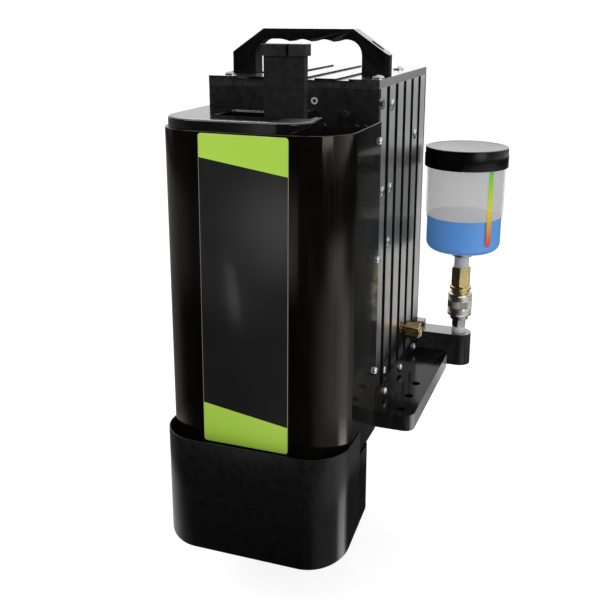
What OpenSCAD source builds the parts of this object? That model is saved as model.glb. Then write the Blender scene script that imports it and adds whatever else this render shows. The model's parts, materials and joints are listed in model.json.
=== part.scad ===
// Torch cleaning station: reams the nozzle of a robot welding torch, sprays it and cuts the wire.
// Frame: X to the right, Y to the back, Z up, in millimetres. The origin is the centre of the six
// mounting holes, on the underside of the side flanges that the station hangs by.

/* [Rear housing] */
// Width of the rear housing
body_w = 165; // [160:1:175]
// Pitch of the ribs, front to back
rib_pitch = 32; // [30:0.5:34]
// Number of ribs along each side
rib_n = 6; // [6:1:7]
// Width of the groove between two ribs
groove_w = 11; // [6:0.5:13]
// Depth of the groove between two ribs
groove_d = 7; // [4:0.5:8]
// Thickness of the side plates
side_t = 12; // [11:0.5:15]
// Thickness of the front plate
front_t = 6; // [4:0.5:8]
// Thickness of the back plate
back_t = 5; // [3:0.5:8]
// Thickness of the base plate
base_t = 8; // [6:0.5:10]
// Distance from the shell's rim up to the lid
lid_rise = 28; // [22:1:40]
// Distance from the mounting holes' middle row forward to the front plate's face
front_reach = 46; // [44:1:50]
// Distance that the side plates reach below the flanges' underside
side_drop = 7; // [4:0.5:9]

/* [Lid] */
// Thickness of the lid
lid_t = 8; // [6:0.5:12]
// Width of the lid's grooves
lid_groove_w = 12; // [6:0.5:14]
// Depth of the lid's grooves
lid_groove_d = 1.6; // [0.8:0.1:2.5]
// Pitch of the lid's grooves, left to right
lid_groove_pitch = 32; // [28:0.5:34]
// Distance from the handle's middle to the front lid screws
lid_screw_x = 72; // [62:0.5:72]
// Distance from the front face to the front lid screws
lid_screw_front = 15; // [8:0.5:16]
// Distance between the front and rear lid screws
lid_screw_gap = 119; // [90:1:150]

/* [Front shell] */
// Width of the front shell
shell_w = 170; // [166:0.5:176]
// Depth of the front shell, from its front face to the housing
shell_d = 112; // [106:1:120]
// Radius of the shell's front corners
shell_r = 38; // [30:0.5:42]
// Wall of the shell
shell_t = 2.5; // [2:0.1:3]
// Height of the shell
shell_h = 298; // [290:1:305]
// Distance that the shell reaches below the flanges' underside
shell_drop = 3; // [1:0.5:6]
// Heights of the shell's side screws above its bottom edge: the lowest
shell_screw_low = 63; // [50:1:80]
// Distance between two side screws of the shell
shell_screw_pitch = 109; // [100:1:112]
// Thickness of the rails that the shell's screws go into
rail_t = 8; // [6:0.5:10]
// Width of the front label
label_w = 79.6; // [60:0.1:82]
// Radius of the front label's corners
label_r = 3; // [1:0.5:6]
// Turn of the front label, in degrees
label_turn = 0.4; // [0:0.05:1.5]

/* [Deck] */
// Thickness of the deck plate
deck_t = 17; // [10:0.5:18]
// Height that the deck stands above the shell's rim
deck_rise = 9; // [5:0.5:10]
// Distance from the centre to the deck's right end
deck_right = 51; // [46:0.5:54]
// Radius of the deck's front right corner
deck_r = 24; // [8:0.5:26]
// Left end of the open corner beside the torch opening, from the centre
open_left = 24; // [22:0.5:40]
// Distance from the torch opening's front edge back to the open corner
open_back = 15; // [13:0.5:24]
// Gap between the deck and the shell
deck_gap = 0.3; // [0.2:0.05:0.5]
// Left end of the torch opening, from the centre
mouth_left = 42; // [38:0.5:46]
// Right end of the torch opening, from the centre
mouth_right = 43; // [41:0.5:45]
// Length of the torch opening, front to back
mouth_d = 38; // [36:0.5:42]
// Radius of the torch opening's corners
mouth_r = 3; // [2:0.5:4]

/* [Reamer] */
// Distance from the centre to the reamer's axis, to the left
reamer_x = 20; // [18:0.5:22]
// Distance from the shell's front face back to the reamer's axis
reamer_y = 57; // [55:0.5:59]
// Travel of the reamer
reamer_stroke = 45; // [30:1:45]
// Diameter of the torch nozzle that the clamp takes
nozzle_d = 25; // [22:0.5:26]
// Diameter of the reamer cutter
cutter_d = 14; // [12:0.5:16]
// Length of the reamer cutter that shows above its chuck
cutter_l = 37; // [30:1:40]
// Bore of the reamer cutter, which clears the contact tip
cutter_bore = 9; // [8:0.2:10]
// Flutes on the reamer cutter
flute_n = 4; // [3:1:5]
// Diameter of the chuck
chuck_d = 20; // [18:0.5:22]
// Length of the chuck
chuck_l = 25; // [20:1:28]
// Diameter of the air motor
motor_d = 40; // [36:1:42]
// Length of the air motor
motor_l = 100; // [90:1:104]
// Diameter of the spindle
spindle_d = 10; // [8:0.5:12]
// Diameter of the guide rods
rod_d = 10; // [8:0.5:12]
// Distance between the two guide rods
rod_gap = 64; // [62:1:68]
// Distance from the reamer's axis back to the guide rods
rod_back = 28; // [26:0.5:30]
// Diameter of the guide bushes
bush_d = 16; // [15:0.5:17]
// Length of the guide bushes
bush_l = 30; // [26:1:34]
// Thickness of the carriage
carriage_t = 16; // [14:1:18]
// Distance from the foot plate's underside up to the carriage at rest
foot_drop = 99; // [92:1:110]
// Diameter of the lift cylinder
lift_d = 20; // [18:1:22]
// Diameter of the lift cylinder's rod
lift_rod_d = 8; // [6:0.5:10]
// Distance from the reamer's axis back to the lift cylinder
lift_back = 36; // [35:0.5:38]

/* [Torch clamp] */
// Height of the V-block and the clamp jaw
vee_h = 28; // [24:1:30]
// Thickness of the head plate under the V-block
head_t = 8; // [6:0.5:10]
// Stroke of the clamp jaw
clamp_stroke = 7; // [5:0.5:7]
// Width of the clamp jaw
jaw_w = 28; // [24:1:32]
// Height of the clamp jaw
jaw_h = 20; // [16:1:22]
// Depth of the clamp jaw
jaw_d = 12; // [10:1:13]
// Diameter of the clamp's rod
clamp_rod_d = 10; // [8:0.5:12]
// Width and height of the clamp cylinder
clamp_cyl_w = 36; // [30:1:40]
// Length of the clamp cylinder
clamp_cyl_l = 60; // [50:1:70]

/* [Wire cutter] */
// Left face of the cutter tower, from the centre
tower_left = 3; // [2:0.5:4]
// Width of the cutter tower
tower_w = 36; // [33:0.5:37]
// Depth of the cutter tower
tower_d = 9; // [9:0.5:11]
// Height of the cutter tower above the deck
tower_h = 50; // [45:1:60]
// Width of the cutter head
head_w = 39.5; // [39:0.5:45]
// Depth of the cutter head
head_d = 13; // [12:0.5:14]
// Height of the cutter head
head_h = 9.5; // [9:0.5:14]
// Width of the slot that the wire goes into
wire_slot = 2.4; // [2:0.1:3]
// Depth of the slot that the wire goes into
wire_slot_d = 8; // [7:0.5:9]
// Distance from the tower's left face to the wire slot
wire_slot_x = 21.5; // [18:0.5:22]
// Thickness of the moving blade
blade_t = 3.9; // [3:0.1:4.4]
// Width of the moving blade, front to back
blade_w = 5.8; // [5:0.1:6.5]
// Travel of the moving blade
blade_stroke = 4; // [3:0.1:4]
// Width of the wedge rod that drives the blade
wedge_w = 4; // [3.5:0.1:4.4]
// Diameter of the cutter's short-stroke cylinder
cut_cyl_d = 16; // [14:0.5:17]
// Length of the cutter's short-stroke cylinder
cut_cyl_l = 32; // [26:1:34]

/* [Debris bin] */
// Width of the debris bin
bin_w = 173; // [172.8:0.1:176]
// Distance that the bin stands ahead of the shell
bin_lead = 10; // [4:0.5:14]
// Depth of the debris bin, front to back
bin_d = 101; // [96:1:104]
// Height of the debris bin
bin_h = 108; // [100:1:130]
// Distance that the bin's rim reaches above the flanges' underside
bin_up = 21; // [15:1:26]
// Wall of the debris bin
bin_t = 1.2; // [1:0.1:1.2]
// Radius of the bin's front corners
bin_r = 37; // [34:0.5:42]
// Distance that the bin's sloping floor rises from its front to its back
bin_rise = 17.5; // [0:0.5:24]
// Radius of the bin's rear corners
bin_rear_r = 12; // [8:0.5:16]
// Length of the rim that is cut down at the bin's rear
bin_notch_l = 34; // [24:1:38]
// Gap between the cut-down rim and the shell's lower edge
bin_notch_gap = 0.4; // [0.3:0.1:2]
// Travel of the bin when it is pulled down
bin_travel = 60; // [40:1:80]

/* [Side flanges] */
// Distance between the two rows of mounting holes
bolt_gap = 215; // [210:1:222]
// Distance between two mounting holes in a row
bolt_pitch = 32; // [28:0.5:34]
// Radius of the mounting holes
bolt_r = 4.5; // [4:0.1:5]
// Distance from the hole row out to the flange's edge
flange_edge = 14.5; // [12:0.5:18]
// Thickness of the flanges
flange_t = 16; // [12:0.5:18]
// Radius of the flanges' corners
flange_r = 10; // [5:0.5:14]
// Length of the flanges, front to back
flange_l = 178.7; // [150:0.1:178.7]
// Height of the upright leg above the flange
leg_h = 19; // [14:0.5:24]
// Thickness of the upright leg
leg_t = 3; // [2.5:0.5:4]
// Radius of the upright leg's top corners
leg_r = 3; // [2:0.5:10]

/* [Fluid reservoir] */
// Distance from the centre to the reservoir's axis
jar_x = 130; // [126:0.5:134]
// Distance from the front plate's face back to the reservoir's axis
jar_back = 192; // [190:0.5:200]
// Depth of the reservoir arm
arm_d = 26; // [24:0.5:30]
// Height of the reservoir arm
arm_h = 36; // [32:0.5:40]
// Distance from the reservoir's axis to the arm's rounded end
arm_end = 14; // [13:0.5:18]
// Gap between the right flange and the reservoir arm
arm_gap = 0.3; // [0.2:0.1:6]
// Height of the arm's pad behind the housing
pad_h = 42.5; // [38:0.5:55]
// Distance that the arm's pad stands out beside the housing
pad_t = 7; // [5:0.5:12]
// Distance that the arm's pad reaches in behind the housing
pad_in = 22; // [16:1:30]
// Diameter of the sealing collar
collar_d = 15.5; // [15:0.1:17]
// Height of the sealing collar
collar_h = 7; // [5:0.5:8]
// Size of the plug's hexagon across its flats
plug_af = 14; // [12:0.5:14.5]
// Height of the plug's hexagon
plug_h = 9; // [7:0.5:12]
// Diameter of the plug's nose
plug_nose_d = 9; // [8:0.5:11]
// Length of the plug's nose inside the coupler
plug_nose_l = 24; // [20:1:26]
// Diameter of the coupler's sleeve
sleeve_d = 27; // [26:0.5:28]
// Length of the coupler's sleeve
sleeve_l = 26; // [22:0.5:28]
// Travel of the coupler's sleeve
sleeve_travel = 4; // [3:0.5:4]
// Diameter of the coupler body inside the sleeve
coupler_d = 20; // [19:0.5:21]
// Diameter of the flange that the sleeve slides up to
coupler_flange_d = 24; // [22:0.5:26]
// Height of the flange that the sleeve slides up to
coupler_flange_h = 3.7; // [3:0.1:6]
// Size of the coupler's hexagon across its flats
coupler_af = 19; // [17:0.5:20]
// Height of the coupler's hexagon
coupler_hex_h = 22; // [18:0.5:24]
// Diameter of the taped neck
neck_d = 17; // [14:0.5:17.5]
// Height of the neck that shows between coupler and jar
neck_h = 12; // [8:0.5:16]
// Diameter of the boss under the jar
boss_d = 23; // [20:0.5:26]
// Height of the boss under the jar
boss_h = 6; // [4:0.5:8]
// Diameter of the jar
jar_d = 84.5; // [76:0.5:86]
// Height of the jar
jar_h = 113; // [90:1:125]
// Wall of the jar
jar_t = 1.8; // [1.2:0.1:2.4]
// Radius of the jar's bottom corner
jar_r = 12; // [8:0.5:16]
// Level of the fluid above the jar's floor
fluid_level = 38; // [20:1:80]
// Diameter of the cap
cap_d = 89.5; // [88.5:0.5:94]
// Height of the cap
cap_h = 21; // [16:0.5:26]
// Wall of the cap
cap_t = 2.2; // [1.8:0.1:2.6]
// Distance that the cap lifts clear
cap_lift = 40; // [25:1:60]
// Distance that the reservoir lifts off its plug
jar_lift = 45; // [40:1:60]

/* [Handle] */
// Length of the handle
handle_l = 154.5; // [136:0.5:155]
// Distance from the lid's right edge in to the handle's right end
handle_inset = 0; // [0:0.5:14]
// Distance from the front face back to the handle
handle_back = 29; // [22:0.5:40]
// Depth of the handle, front to back
handle_d = 17; // [14:0.5:24]
// Height of the handle above the lid
handle_h = 42.5; // [38:0.5:60]
// Width of each leg
handle_leg = 25; // [20:0.5:26]
// Radius of the handle's upright end edges
handle_r = 5; // [2:0.5:7]
// Thickness of the grip at its thinnest
grip_t = 9.5; // [7:0.5:14]
// Length of the sloped shoulders
shoulder_l = 33.5; // [25:0.5:36]
// Height of the sloped shoulders
shoulder_h = 23; // [15:0.5:24]
// Pitch of the finger hollows
finger_pitch = 21.5; // [19:0.5:22]
// Distance that the hollows' middle crest lies right of the handle's centre
finger_shift = 4; // [0:0.5:6]
// Depth of the finger hollows
finger_d = 2.2; // [1:0.1:3]
// Width of the slots in the sloped shoulders
handle_slot_w = 7.2; // [7.2:0.1:9]
// Length of the slots in the sloped shoulders
handle_slot_l = 12; // [10:0.5:17]

/* [Air fittings] */
// Distance from the front face back to the air inlet
inlet_back = 110; // [90:1:125]
// Height of the air inlet above the flanges' underside
inlet_z = 62; // [50:1:100]
// Size of the air inlet's hexagon across its flats
inlet_af = 17; // [14:0.5:19]
// Distance that the air inlet stands out of the side
inlet_l = 21.5; // [18:0.5:26]
// Length of the inlet's shank ahead of its hexagon
inlet_shank = 5.5; // [3:0.5:7]
// Diameter of the inlet's shank
inlet_shank_d = 13; // [11:0.5:14]
// Diameter of the air inlet's bore
inlet_bore = 11.5; // [9:0.1:12]
// Depth of the air inlet's bore
inlet_bore_l = 12; // [8:0.5:13]

/* [Hidden] */
$fn = 64;
eps = 0.01;      // overlap that makes two shapes of one piece meet
run = 0.05;      // radial running clearance of shafts and slides
touch = 0.3;     // gap between pieces that move past or seat on each other

// Rear housing
y_front = -front_reach;
y_back = y_front + rib_pitch * rib_n;
z_low = -side_drop;
z_lid = shell_h - shell_drop + lid_rise;
side_h = z_lid - z_low;
z_top = z_lid + lid_t;
body_x = body_w / 2;
core_x = body_x - side_t;
y_in = y_front + front_t;
y_out = y_back - back_t;

// Carry handle
handle_x = body_x - handle_inset - handle_l / 2;
handle_y = y_front + handle_back;
handle_bolts = [handle_x - handle_l / 2 + handle_leg / 2, handle_x + handle_l / 2 - handle_leg / 2];

// Shell, deck and the mechanism's head
y_nose = y_front - shell_d;
shell_x = shell_w / 2;
z_shell = -shell_drop;
z_rim = z_shell + shell_h;
z_deck = z_rim + deck_rise;
z_under = z_deck - deck_t;
bore_x = shell_x - shell_t;
axis_x = -reamer_x;
axis_y = y_nose + reamer_y;
nozzle_r = nozzle_d / 2;
mouth_y = axis_y - mouth_d / 2;
z_head = z_under - vee_h;
z_head_low = z_head - head_t;
// the cutter's tip lies level with the head plate's underside while the reamer rests
z_chuck = z_head_low - chuck_l - cutter_l;
z_motor = z_chuck - motor_l - 2;
z_carriage = z_motor + 45;
z_foot = z_carriage - foot_drop;
foot_t = 8;
rail_w = 12;
rail_d = 12;
plate_left = 62;

// Fastener sizes
head_d_m5 = 9;
head_h_m5 = 2.6;
hex_m5 = 3.4;
head_d_m6 = 11;
head_h_m6 = 3.2;
hex_m6 = 4.2;

// Wire cutter
tower_x = tower_left;
tower_y = mouth_y + touch;
z_tower = z_head;
z_cut = z_deck + tower_h;
head_x = tower_x - (head_w - tower_w) / 2;
head_y = tower_y - 1.6;
cut_y = tower_y + tower_d / 2;
slot_x = tower_x + wire_slot_x;
wedge_x = tower_x + 4;
// the wedge's sloped top is the line x + z = wedge_line at rest
wedge_line = wedge_x + wedge_w + z_cut - 1;
blade_gap = 0.15;
blade_right = slot_x + 8;

// Reservoir stack, from the arm up
jar_y = max(y_front + jar_back, y_front + flange_l + arm_gap + arm_d / 2);
z_arm = arm_h;
arm_y = jar_y - arm_d / 2;
z_plug = z_arm + collar_h;
z_nose = z_plug + plug_h;
z_sleeve = z_nose + 5;
z_flange = z_sleeve + sleeve_l + sleeve_travel + touch;
z_hex = z_flange + coupler_flange_h;
z_neck = z_hex + coupler_hex_h;
z_boss = z_neck + neck_h;
z_jar = z_boss + boss_h;
z_jar_top = z_jar + jar_h;
z_cap_low = z_jar_top - cap_h + 3;
coupler_low = z_nose + touch;
jar_rr = jar_d / 2;
cap_rr = cap_d / 2;

// ---- shared shapes ----

// Rounded rectangle from one corner to the other, radius r
module rrect(x0, y0, x1, y1, r) {
    translate([x0 + r, y0]) square([x1 - x0 - 2 * r, y1 - y0]);
    translate([x0, y0 + r]) square([x1 - x0, y1 - y0 - 2 * r]);
    for (x = [x0 + r, x1 - r], y = [y0 + r, y1 - r]) translate([x, y]) circle(r);
}

// Outline with rounded front corners and a straight back
module d_outline(half, y0, y1, r) {
    translate([-half, y0 + r]) square([2 * half, y1 - y0 - r]);
    translate([r - half, y0]) square([2 * (half - r), r + eps]);
    for (x = [r - half, half - r]) translate([x, y0 + r]) circle(r, $fn = 96);
}

// Button-head screw standing on z = 0, with a shank below
module button_screw(d, h, hex, shank_d, shank_l) {
    difference() {
        union() {
            rotate_extrude($fn = 32)
                polygon([[0, 0], [d / 2, 0], [d / 2, h * 0.3], [d * 0.4, h * 0.72], [d * 0.26, h], [0, h]]);
            translate([0, 0, -shank_l]) cylinder(d = shank_d, h = shank_l + eps, $fn = 20);
        }
        translate([0, 0, h * 0.4]) cylinder(d = hex, h = h, $fn = 6);
    }
}

// Turn a shape so that its +Z points along +X, -X, -Y or +Y
module to_right() { rotate([0, 90, 0]) children(); }
module to_left() { rotate([0, -90, 0]) children(); }
module to_front() { rotate([90, 0, 0]) children(); }
module to_rear() { rotate([-90, 0, 0]) children(); }

// Hexagonal prism given by the distance across its flats
module hex_prism(af, h) { cylinder(d = af / cos(30), h = h, $fn = 6); }

// Hexagonal prism with turned, chamfered ends
module turned_hex(af, h) {
    corner = af / cos(30);
    intersection() {
        hex_prism(af, h);
        rotate_extrude($fn = 48)
            polygon([[0, 0], [af / 2 - 0.3, 0], [corner / 2, 1.2], [corner / 2, h - 1.2],
                [af / 2 - 0.3, h], [0, h]]);
    }
}

// ---- rear housing ----

// Centres of the grooves between the ribs
groove_ys = [for (k = [1 : rib_n - 1]) y_front + rib_pitch * k];
// Heights of the back plate's screws
back_zs = [z_low + 60, z_low + side_h / 2 + 13, z_lid - 16];
back_x = body_x - side_t / 2;
// Heights of the reservoir arm's screws, which go into the right side plate from behind
arm_screw_zs = [10, pad_h - 11];

module side_profile() {
    difference() {
        translate([core_x, y_in]) square([side_t, y_out - y_in]);
        for (y = groove_ys) translate([body_x - groove_d, y - groove_w / 2])
            square([groove_d + 1, groove_w]);
    }
}

module side_plate() {
    difference() {
        translate([0, 0, z_low]) linear_extrude(side_h) side_profile();
        for (z = back_zs) translate([back_x, y_out + eps, z]) to_front()
            cylinder(d = 4.2, h = 12, $fn = 24);
    }
}

module side_plate_right() {
    color("#1b1b1d") difference() {
        side_plate();
        // inlet fitting and fluid passage
        translate([core_x - 1, y_front + inlet_back, inlet_z]) to_right()
            cylinder(d = inlet_shank_d, h = side_t + 2);
        translate([core_x - 1, line_y, z_arm - 13]) to_right()
            cylinder(d = line_d + 0.2, h = side_t + 2, $fn = 32);
        for (z = arm_screw_zs) translate([back_x, y_out + eps, z]) to_front()
            cylinder(d = 4.2, h = 12, $fn = 24);
    }
}

module side_plate_left() { color("#1b1b1d") mirror([1, 0, 0]) side_plate(); }

module front_plate() {
    color("#161617") difference() {
        translate([-body_x, y_front, z_low]) cube([body_w, front_t, side_h]);
        translate([axis_x, y_front - 1, z_head + vee_h / 2]) to_rear()
            cylinder(d = clamp_rod_d + 2 * run, h = front_t + 2);
        translate([tower_x + 40, y_front - 1, z_head + 12]) to_rear()
            cylinder(d = line_d + 0.2, h = front_t + 2, $fn = 32);
    }
}

module back_plate() {
    color("#161617") difference() {
        translate([-body_x, y_out, z_low]) cube([body_w, back_t, side_h]);
        for (x = [-back_x, back_x], z = back_zs) translate([x, y_out - 1, z]) to_rear()
            cylinder(d = 5.4, h = back_t + 2, $fn = 24);
        for (z = arm_screw_zs) translate([back_x, y_out - 1, z]) to_rear()
            cylinder(d = 5.4, h = back_t + 2, $fn = 24);
        translate([40, y_out - 1, 40]) to_rear() cylinder(d = 13.4, h = back_t + 2);
    }
}

module back_screws() {
    color("silver") for (x = [-back_x, back_x], z = back_zs) translate([x, y_back, z]) to_rear()
        button_screw(head_d_m5, head_h_m5, hex_m5, 4, back_t + 8);
}

module base_plate() {
    color("#161617") translate([-core_x, y_in, z_low]) cube([2 * core_x, y_out - y_in, base_t]);
}

// Screws in the side plates, all on the rib faces: rib number and height
side_screw_spots = [[1.45, z_lid - 18], [0.55, z_lid - 95], [1.45, z_lid - 97], [1.4, z_lid - 150],
    [4.5, z_lid - 58]];

module side_screws() {
    color("silver") for (s = side_screw_spots, m = [0, 1]) mirror([m, 0, 0])
        translate([body_x, y_front + rib_pitch * s[0], s[1]]) to_right()
            button_screw(head_d_m5 + 1.5, 1.7, hex_m5, 4, 0);
    // one more above each flange's leg
    color("silver") for (m = [0, 1]) mirror([m, 0, 0])
        translate([body_x, y_front + rib_pitch * 1.34, flange_t + leg_h + 5.6]) to_right()
            button_screw(head_d_m5, 1.7, hex_m5, 4, 0);
    // socket screw at each front corner
    color("#2a2a2c") for (m = [0, 1]) mirror([m, 0, 0])
        translate([body_x, y_front + 9, z_lid - 14]) to_right() difference() {
            cylinder(d = head_d_m5, h = 1.8, $fn = 32);
            translate([0, 0, 0.5]) cylinder(d = 4.6, h = 4, $fn = 6);
        }
}

module lid() {
    color("#202022") difference() {
        translate([-body_x, y_front, z_lid]) cube([body_w, y_back - y_front, lid_t]);
        for (k = [-2 : 1]) translate([(k + 0.5) * lid_groove_pitch - lid_groove_w / 2, y_front - 1,
            z_top - lid_groove_d]) cube([lid_groove_w, y_back - y_front + 2, lid_groove_d + 1]);
        for (p = lid_spots) translate([p[0], p[1], z_lid - 1]) cylinder(d = 5.4, h = lid_t + 2, $fn = 24);
        for (x = handle_bolts) translate([x, handle_y + handle_d / 2, z_lid - 1])
            cylinder(d = 5.4, h = lid_t + 2, $fn = 24);
    }
}

lid_spots = [for (m = [-1, 1], k = [0, 1])
    [(1 - k) * handle_x + m * (lid_screw_x - 6 * k), y_front + lid_screw_front + k * lid_screw_gap]];

module lid_screws() {
    color("silver") for (p = lid_spots) translate([p[0], p[1], z_top])
        button_screw(head_d_m6, head_h_m6, hex_m6, 5, lid_t);
}

// ---- carry handle ----

// Height of the grip's underside: finger hollows with a crest between each two
function grip_under(x) = handle_h - grip_t - finger_d * (1 - abs(sin(180 * ((x - finger_shift) / finger_pitch))));

// Side view of the handle, standing on z = 0 and centred on x = 0
module handle_profile() {
    half = handle_l / 2;
    inner = half - handle_leg;
    roof = handle_h - grip_t;
    r_in = 14;
    difference() {
        polygon([[-half, 0], [-half, handle_h - shoulder_h], [shoulder_l - half, handle_h],
            [half - shoulder_l, handle_h], [half, handle_h - shoulder_h], [half, 0]]);
        polygon(concat([[-inner, -1]],
            [for (a = [180 : -15 : 90]) [r_in - inner + r_in * cos(a), roof - r_in + r_in * sin(a)]],
            [for (k = [-12 : 12]) let (x = finger_shift + k * finger_pitch / 8) [x, grip_under(x)]],
            [for (a = [90 : -15 : 0]) [inner - r_in + r_in * cos(a), roof - r_in + r_in * sin(a)]],
            [[inner, -1]]));
    }
}

module handle() {
    color("#222326") difference() {
        intersection() {
            translate([handle_x, handle_y + handle_d, z_top]) to_front() linear_extrude(handle_d)
                handle_profile();
            translate([handle_x, 0, z_top]) linear_extrude(handle_h + 1)
                rrect(-handle_l / 2, handle_y, handle_l / 2, handle_y + handle_d, handle_r);
        }
        for (x = handle_bolts) translate([x, handle_y + handle_d / 2, z_top - 1]) {
            cylinder(d = 5.4, h = handle_h, $fn = 24);
            // slot through the sloped shoulder down to the screw
            translate([0, 0, 9]) linear_extrude(handle_h) {
                translate([-(handle_slot_l - handle_slot_w) / 2, -handle_slot_w / 2])
                    square([handle_slot_l - handle_slot_w, handle_slot_w]);
                for (m = [-1, 1]) translate([m * (handle_slot_l - handle_slot_w) / 2, 0])
                    circle(d = handle_slot_w, $fn = 32);
            }
        }
    }
}

module handle_screws() {
    color("silver") for (x = handle_bolts) translate([x, handle_y + handle_d / 2, z_top + 8])
        difference() {
            union() {
                cylinder(d = 6.8, h = 4, $fn = 32);
                translate([0, 0, -8 - lid_t]) cylinder(d = 5, h = 8 + lid_t + eps, $fn = 24);
            }
            translate([0, 0, 1.6]) cylinder(d = 3.4, h = 4, $fn = 6);
        }
}

// ---- side flanges: the station hangs by these ----

bolt_x = bolt_gap / 2;
leg_screw_up = 6.5;
bolt_ys = [-bolt_pitch, 0, bolt_pitch];
leg_screw_ys = [for (k = [0 : 2]) y_front + 33 + k * 2 * rib_pitch];

module flange(mid_hole = true) {
    x1 = bolt_x + flange_edge;
    difference() {
        union() {
            linear_extrude(flange_t) {
                translate([body_x, y_front]) square([x1 - body_x - flange_r, flange_l]);
                translate([body_x, y_front + flange_r]) square([x1 - body_x, flange_l - 2 * flange_r]);
                for (y = [flange_r, flange_l - flange_r])
                    translate([x1 - flange_r, y_front + y]) circle(flange_r);
            }
            // upright leg, rounded at its front and rear top corners
            translate([body_x, 0, 0]) to_right() linear_extrude(leg_t) leg_outline();
        }
        for (y = bolt_ys) translate([bolt_x, y, -1]) cylinder(r = bolt_r, h = flange_t + 2);
        for (y = leg_screw_ys) translate([body_x - 1, y, flange_t + leg_screw_up]) to_right()
            cylinder(d = 5.4, h = leg_t + 2, $fn = 24);
    }
}

// Outline of the upright leg, drawn in the plane that to_right() lays on the housing's side
module leg_outline() {
    r = leg_r;
    mirror([1, 0]) {
        translate([0, y_front]) square([flange_t + leg_h - r, flange_l]);
        translate([0, y_front + r]) square([flange_t + leg_h, flange_l - 2 * r]);
        for (y = [r, flange_l - r]) translate([flange_t + leg_h - r, y_front + y]) circle(r);
    }
}

module flange_right() { color("#1b1b1d") flange(); }
module flange_left() { color("#1b1b1d") mirror([1, 0, 0]) flange(); }

module flange_screws() {
    color("silver") for (y = leg_screw_ys, m = [0, 1]) mirror([m, 0, 0])
        translate([body_x + leg_t, y, flange_t + leg_screw_up]) to_right()
            button_screw(head_d_m5, head_h_m5, hex_m5, 5, leg_t);
}

// ---- front shell ----

rail_zs = [for (k = [0 : 2]) z_shell + shell_screw_low + k * shell_screw_pitch];
rail_y = y_front - 4;

module front_shell() {
    color("#1c1917") difference() {
        translate([0, 0, z_shell]) linear_extrude(shell_h) difference() {
            d_outline(shell_x, y_nose, y_front, shell_r);
            d_outline(bore_x, y_nose + shell_t, y_front + 1, shell_r - shell_t);
        }
        for (x = [-1, 1], z = rail_zs) translate([x * (shell_x - shell_t / 2), rail_y, z]) to_right()
            translate([0, 0, -shell_t]) cylinder(d = 4.4, h = 2 * shell_t, $fn = 24);
    }
}

module shell_rails() {
    color("#161617") for (x = [-1, 1]) difference() {
        translate([x * bore_x - (x > 0 ? rail_t : 0), y_front - rail_d, z_shell + 4])
            cube([rail_t, rail_d, z_under - z_shell - 4]);
        for (z = rail_zs) translate([x * (bore_x - rail_t - 1), rail_y, z]) rotate([0, x * 90, 0])
            cylinder(d = 3.3, h = rail_t + 2, $fn = 24);
    }
}

module shell_screws() {
    color("silver") for (x = [-1, 1], z = rail_zs) translate([x * shell_x, rail_y, z])
        rotate([0, x * 90, 0]) button_screw(head_d_m5 - 2, head_h_m5, hex_m5 - 0.4, 3.2, shell_t + rail_t);
}

module label_plate() {
    h = z_rim - bin_up + 1;
    color("#1c1c1c") translate([-0.9, y_nose, (z_rim + bin_up) / 2 - 2.2]) to_front()
        linear_extrude(0.5) rotate(-label_turn)
            rrect(-label_w / 2, -h / 2, label_w / 2, h / 2, label_r);
}

// ---- deck and head ----

module deck() {
    half = bore_x - deck_gap;
    r = shell_r - shell_t - deck_gap;
    y0 = y_nose + shell_t + deck_gap;
    color("#1d1d1f") translate([0, 0, z_under]) linear_extrude(deck_t) difference() {
        union() {
            translate([-half, y0 + r]) square([half + deck_right, y_front - y0 - r]);
            translate([r - half, y0]) square([half - r + deck_right - deck_r, r + eps]);
            translate([r - half, y0 + r]) circle(r, $fn = 96);
            translate([deck_right - deck_r - eps, y0 + deck_r]) square([deck_r + eps, r - deck_r + eps]);
            translate([deck_right - deck_r, y0 + deck_r]) circle(deck_r);
        }
        rrect(-mouth_left, mouth_y, mouth_right, mouth_y + mouth_d, mouth_r);
        // open corner beside the torch opening
        translate([open_left, mouth_y + open_back])
            square([deck_right - open_left + 1, y_front - mouth_y - open_back + 1]);
    }
}

// Plate under the V-block, on the front plate
module head_plate() {
    color("#2a2a2c") difference() {
        translate([-plate_left, mouth_y - 16, z_head_low])
            cube([plate_left + mouth_right + 4, y_front - mouth_y + 16, head_t]);
        translate([axis_x, axis_y, z_head_low - 1]) cylinder(d = nozzle_d + 9, h = head_t + 2);
        for (x = rod_xs) translate([x, rod_y, z_head_low - 1]) cylinder(d = rod_d - 2, h = head_t + 2);
        translate([wedge_x - 0.1, cut_y - 3, z_head_low - 1]) cube([wedge_w + 0.2, 6, head_t + 2]);
    }
}

module foot_plate() {
    color("#2a2a2c") difference() {
        translate([-plate_left, axis_y + 4, z_foot])
            cube([plate_left + 24, y_front - axis_y - 4, foot_t]);
        for (x = rod_xs) translate([x, rod_y, z_foot - 1]) cylinder(d = rod_d - 2, h = foot_t + 2);
        translate([axis_x, axis_y + lift_back, z_foot - 1]) cylinder(d = 6, h = foot_t + 2, $fn = 32);
    }
}

rod_xs = [axis_x - rod_gap / 2, axis_x + rod_gap / 2];
rod_y = axis_y + rod_back;

// Rods with stepped ends that seat in the head and foot plates
module guide_rods() {
    color("#c8cacc") for (x = rod_xs) translate([x, rod_y, 0]) {
        translate([0, 0, z_foot + foot_t]) cylinder(d = rod_d, h = z_head_low - z_foot - foot_t);
        translate([0, 0, z_foot + 1]) cylinder(d = rod_d - 2.2, h = z_head - z_foot - 2);
    }
}

z_lift_top = z_carriage - 5;

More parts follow.
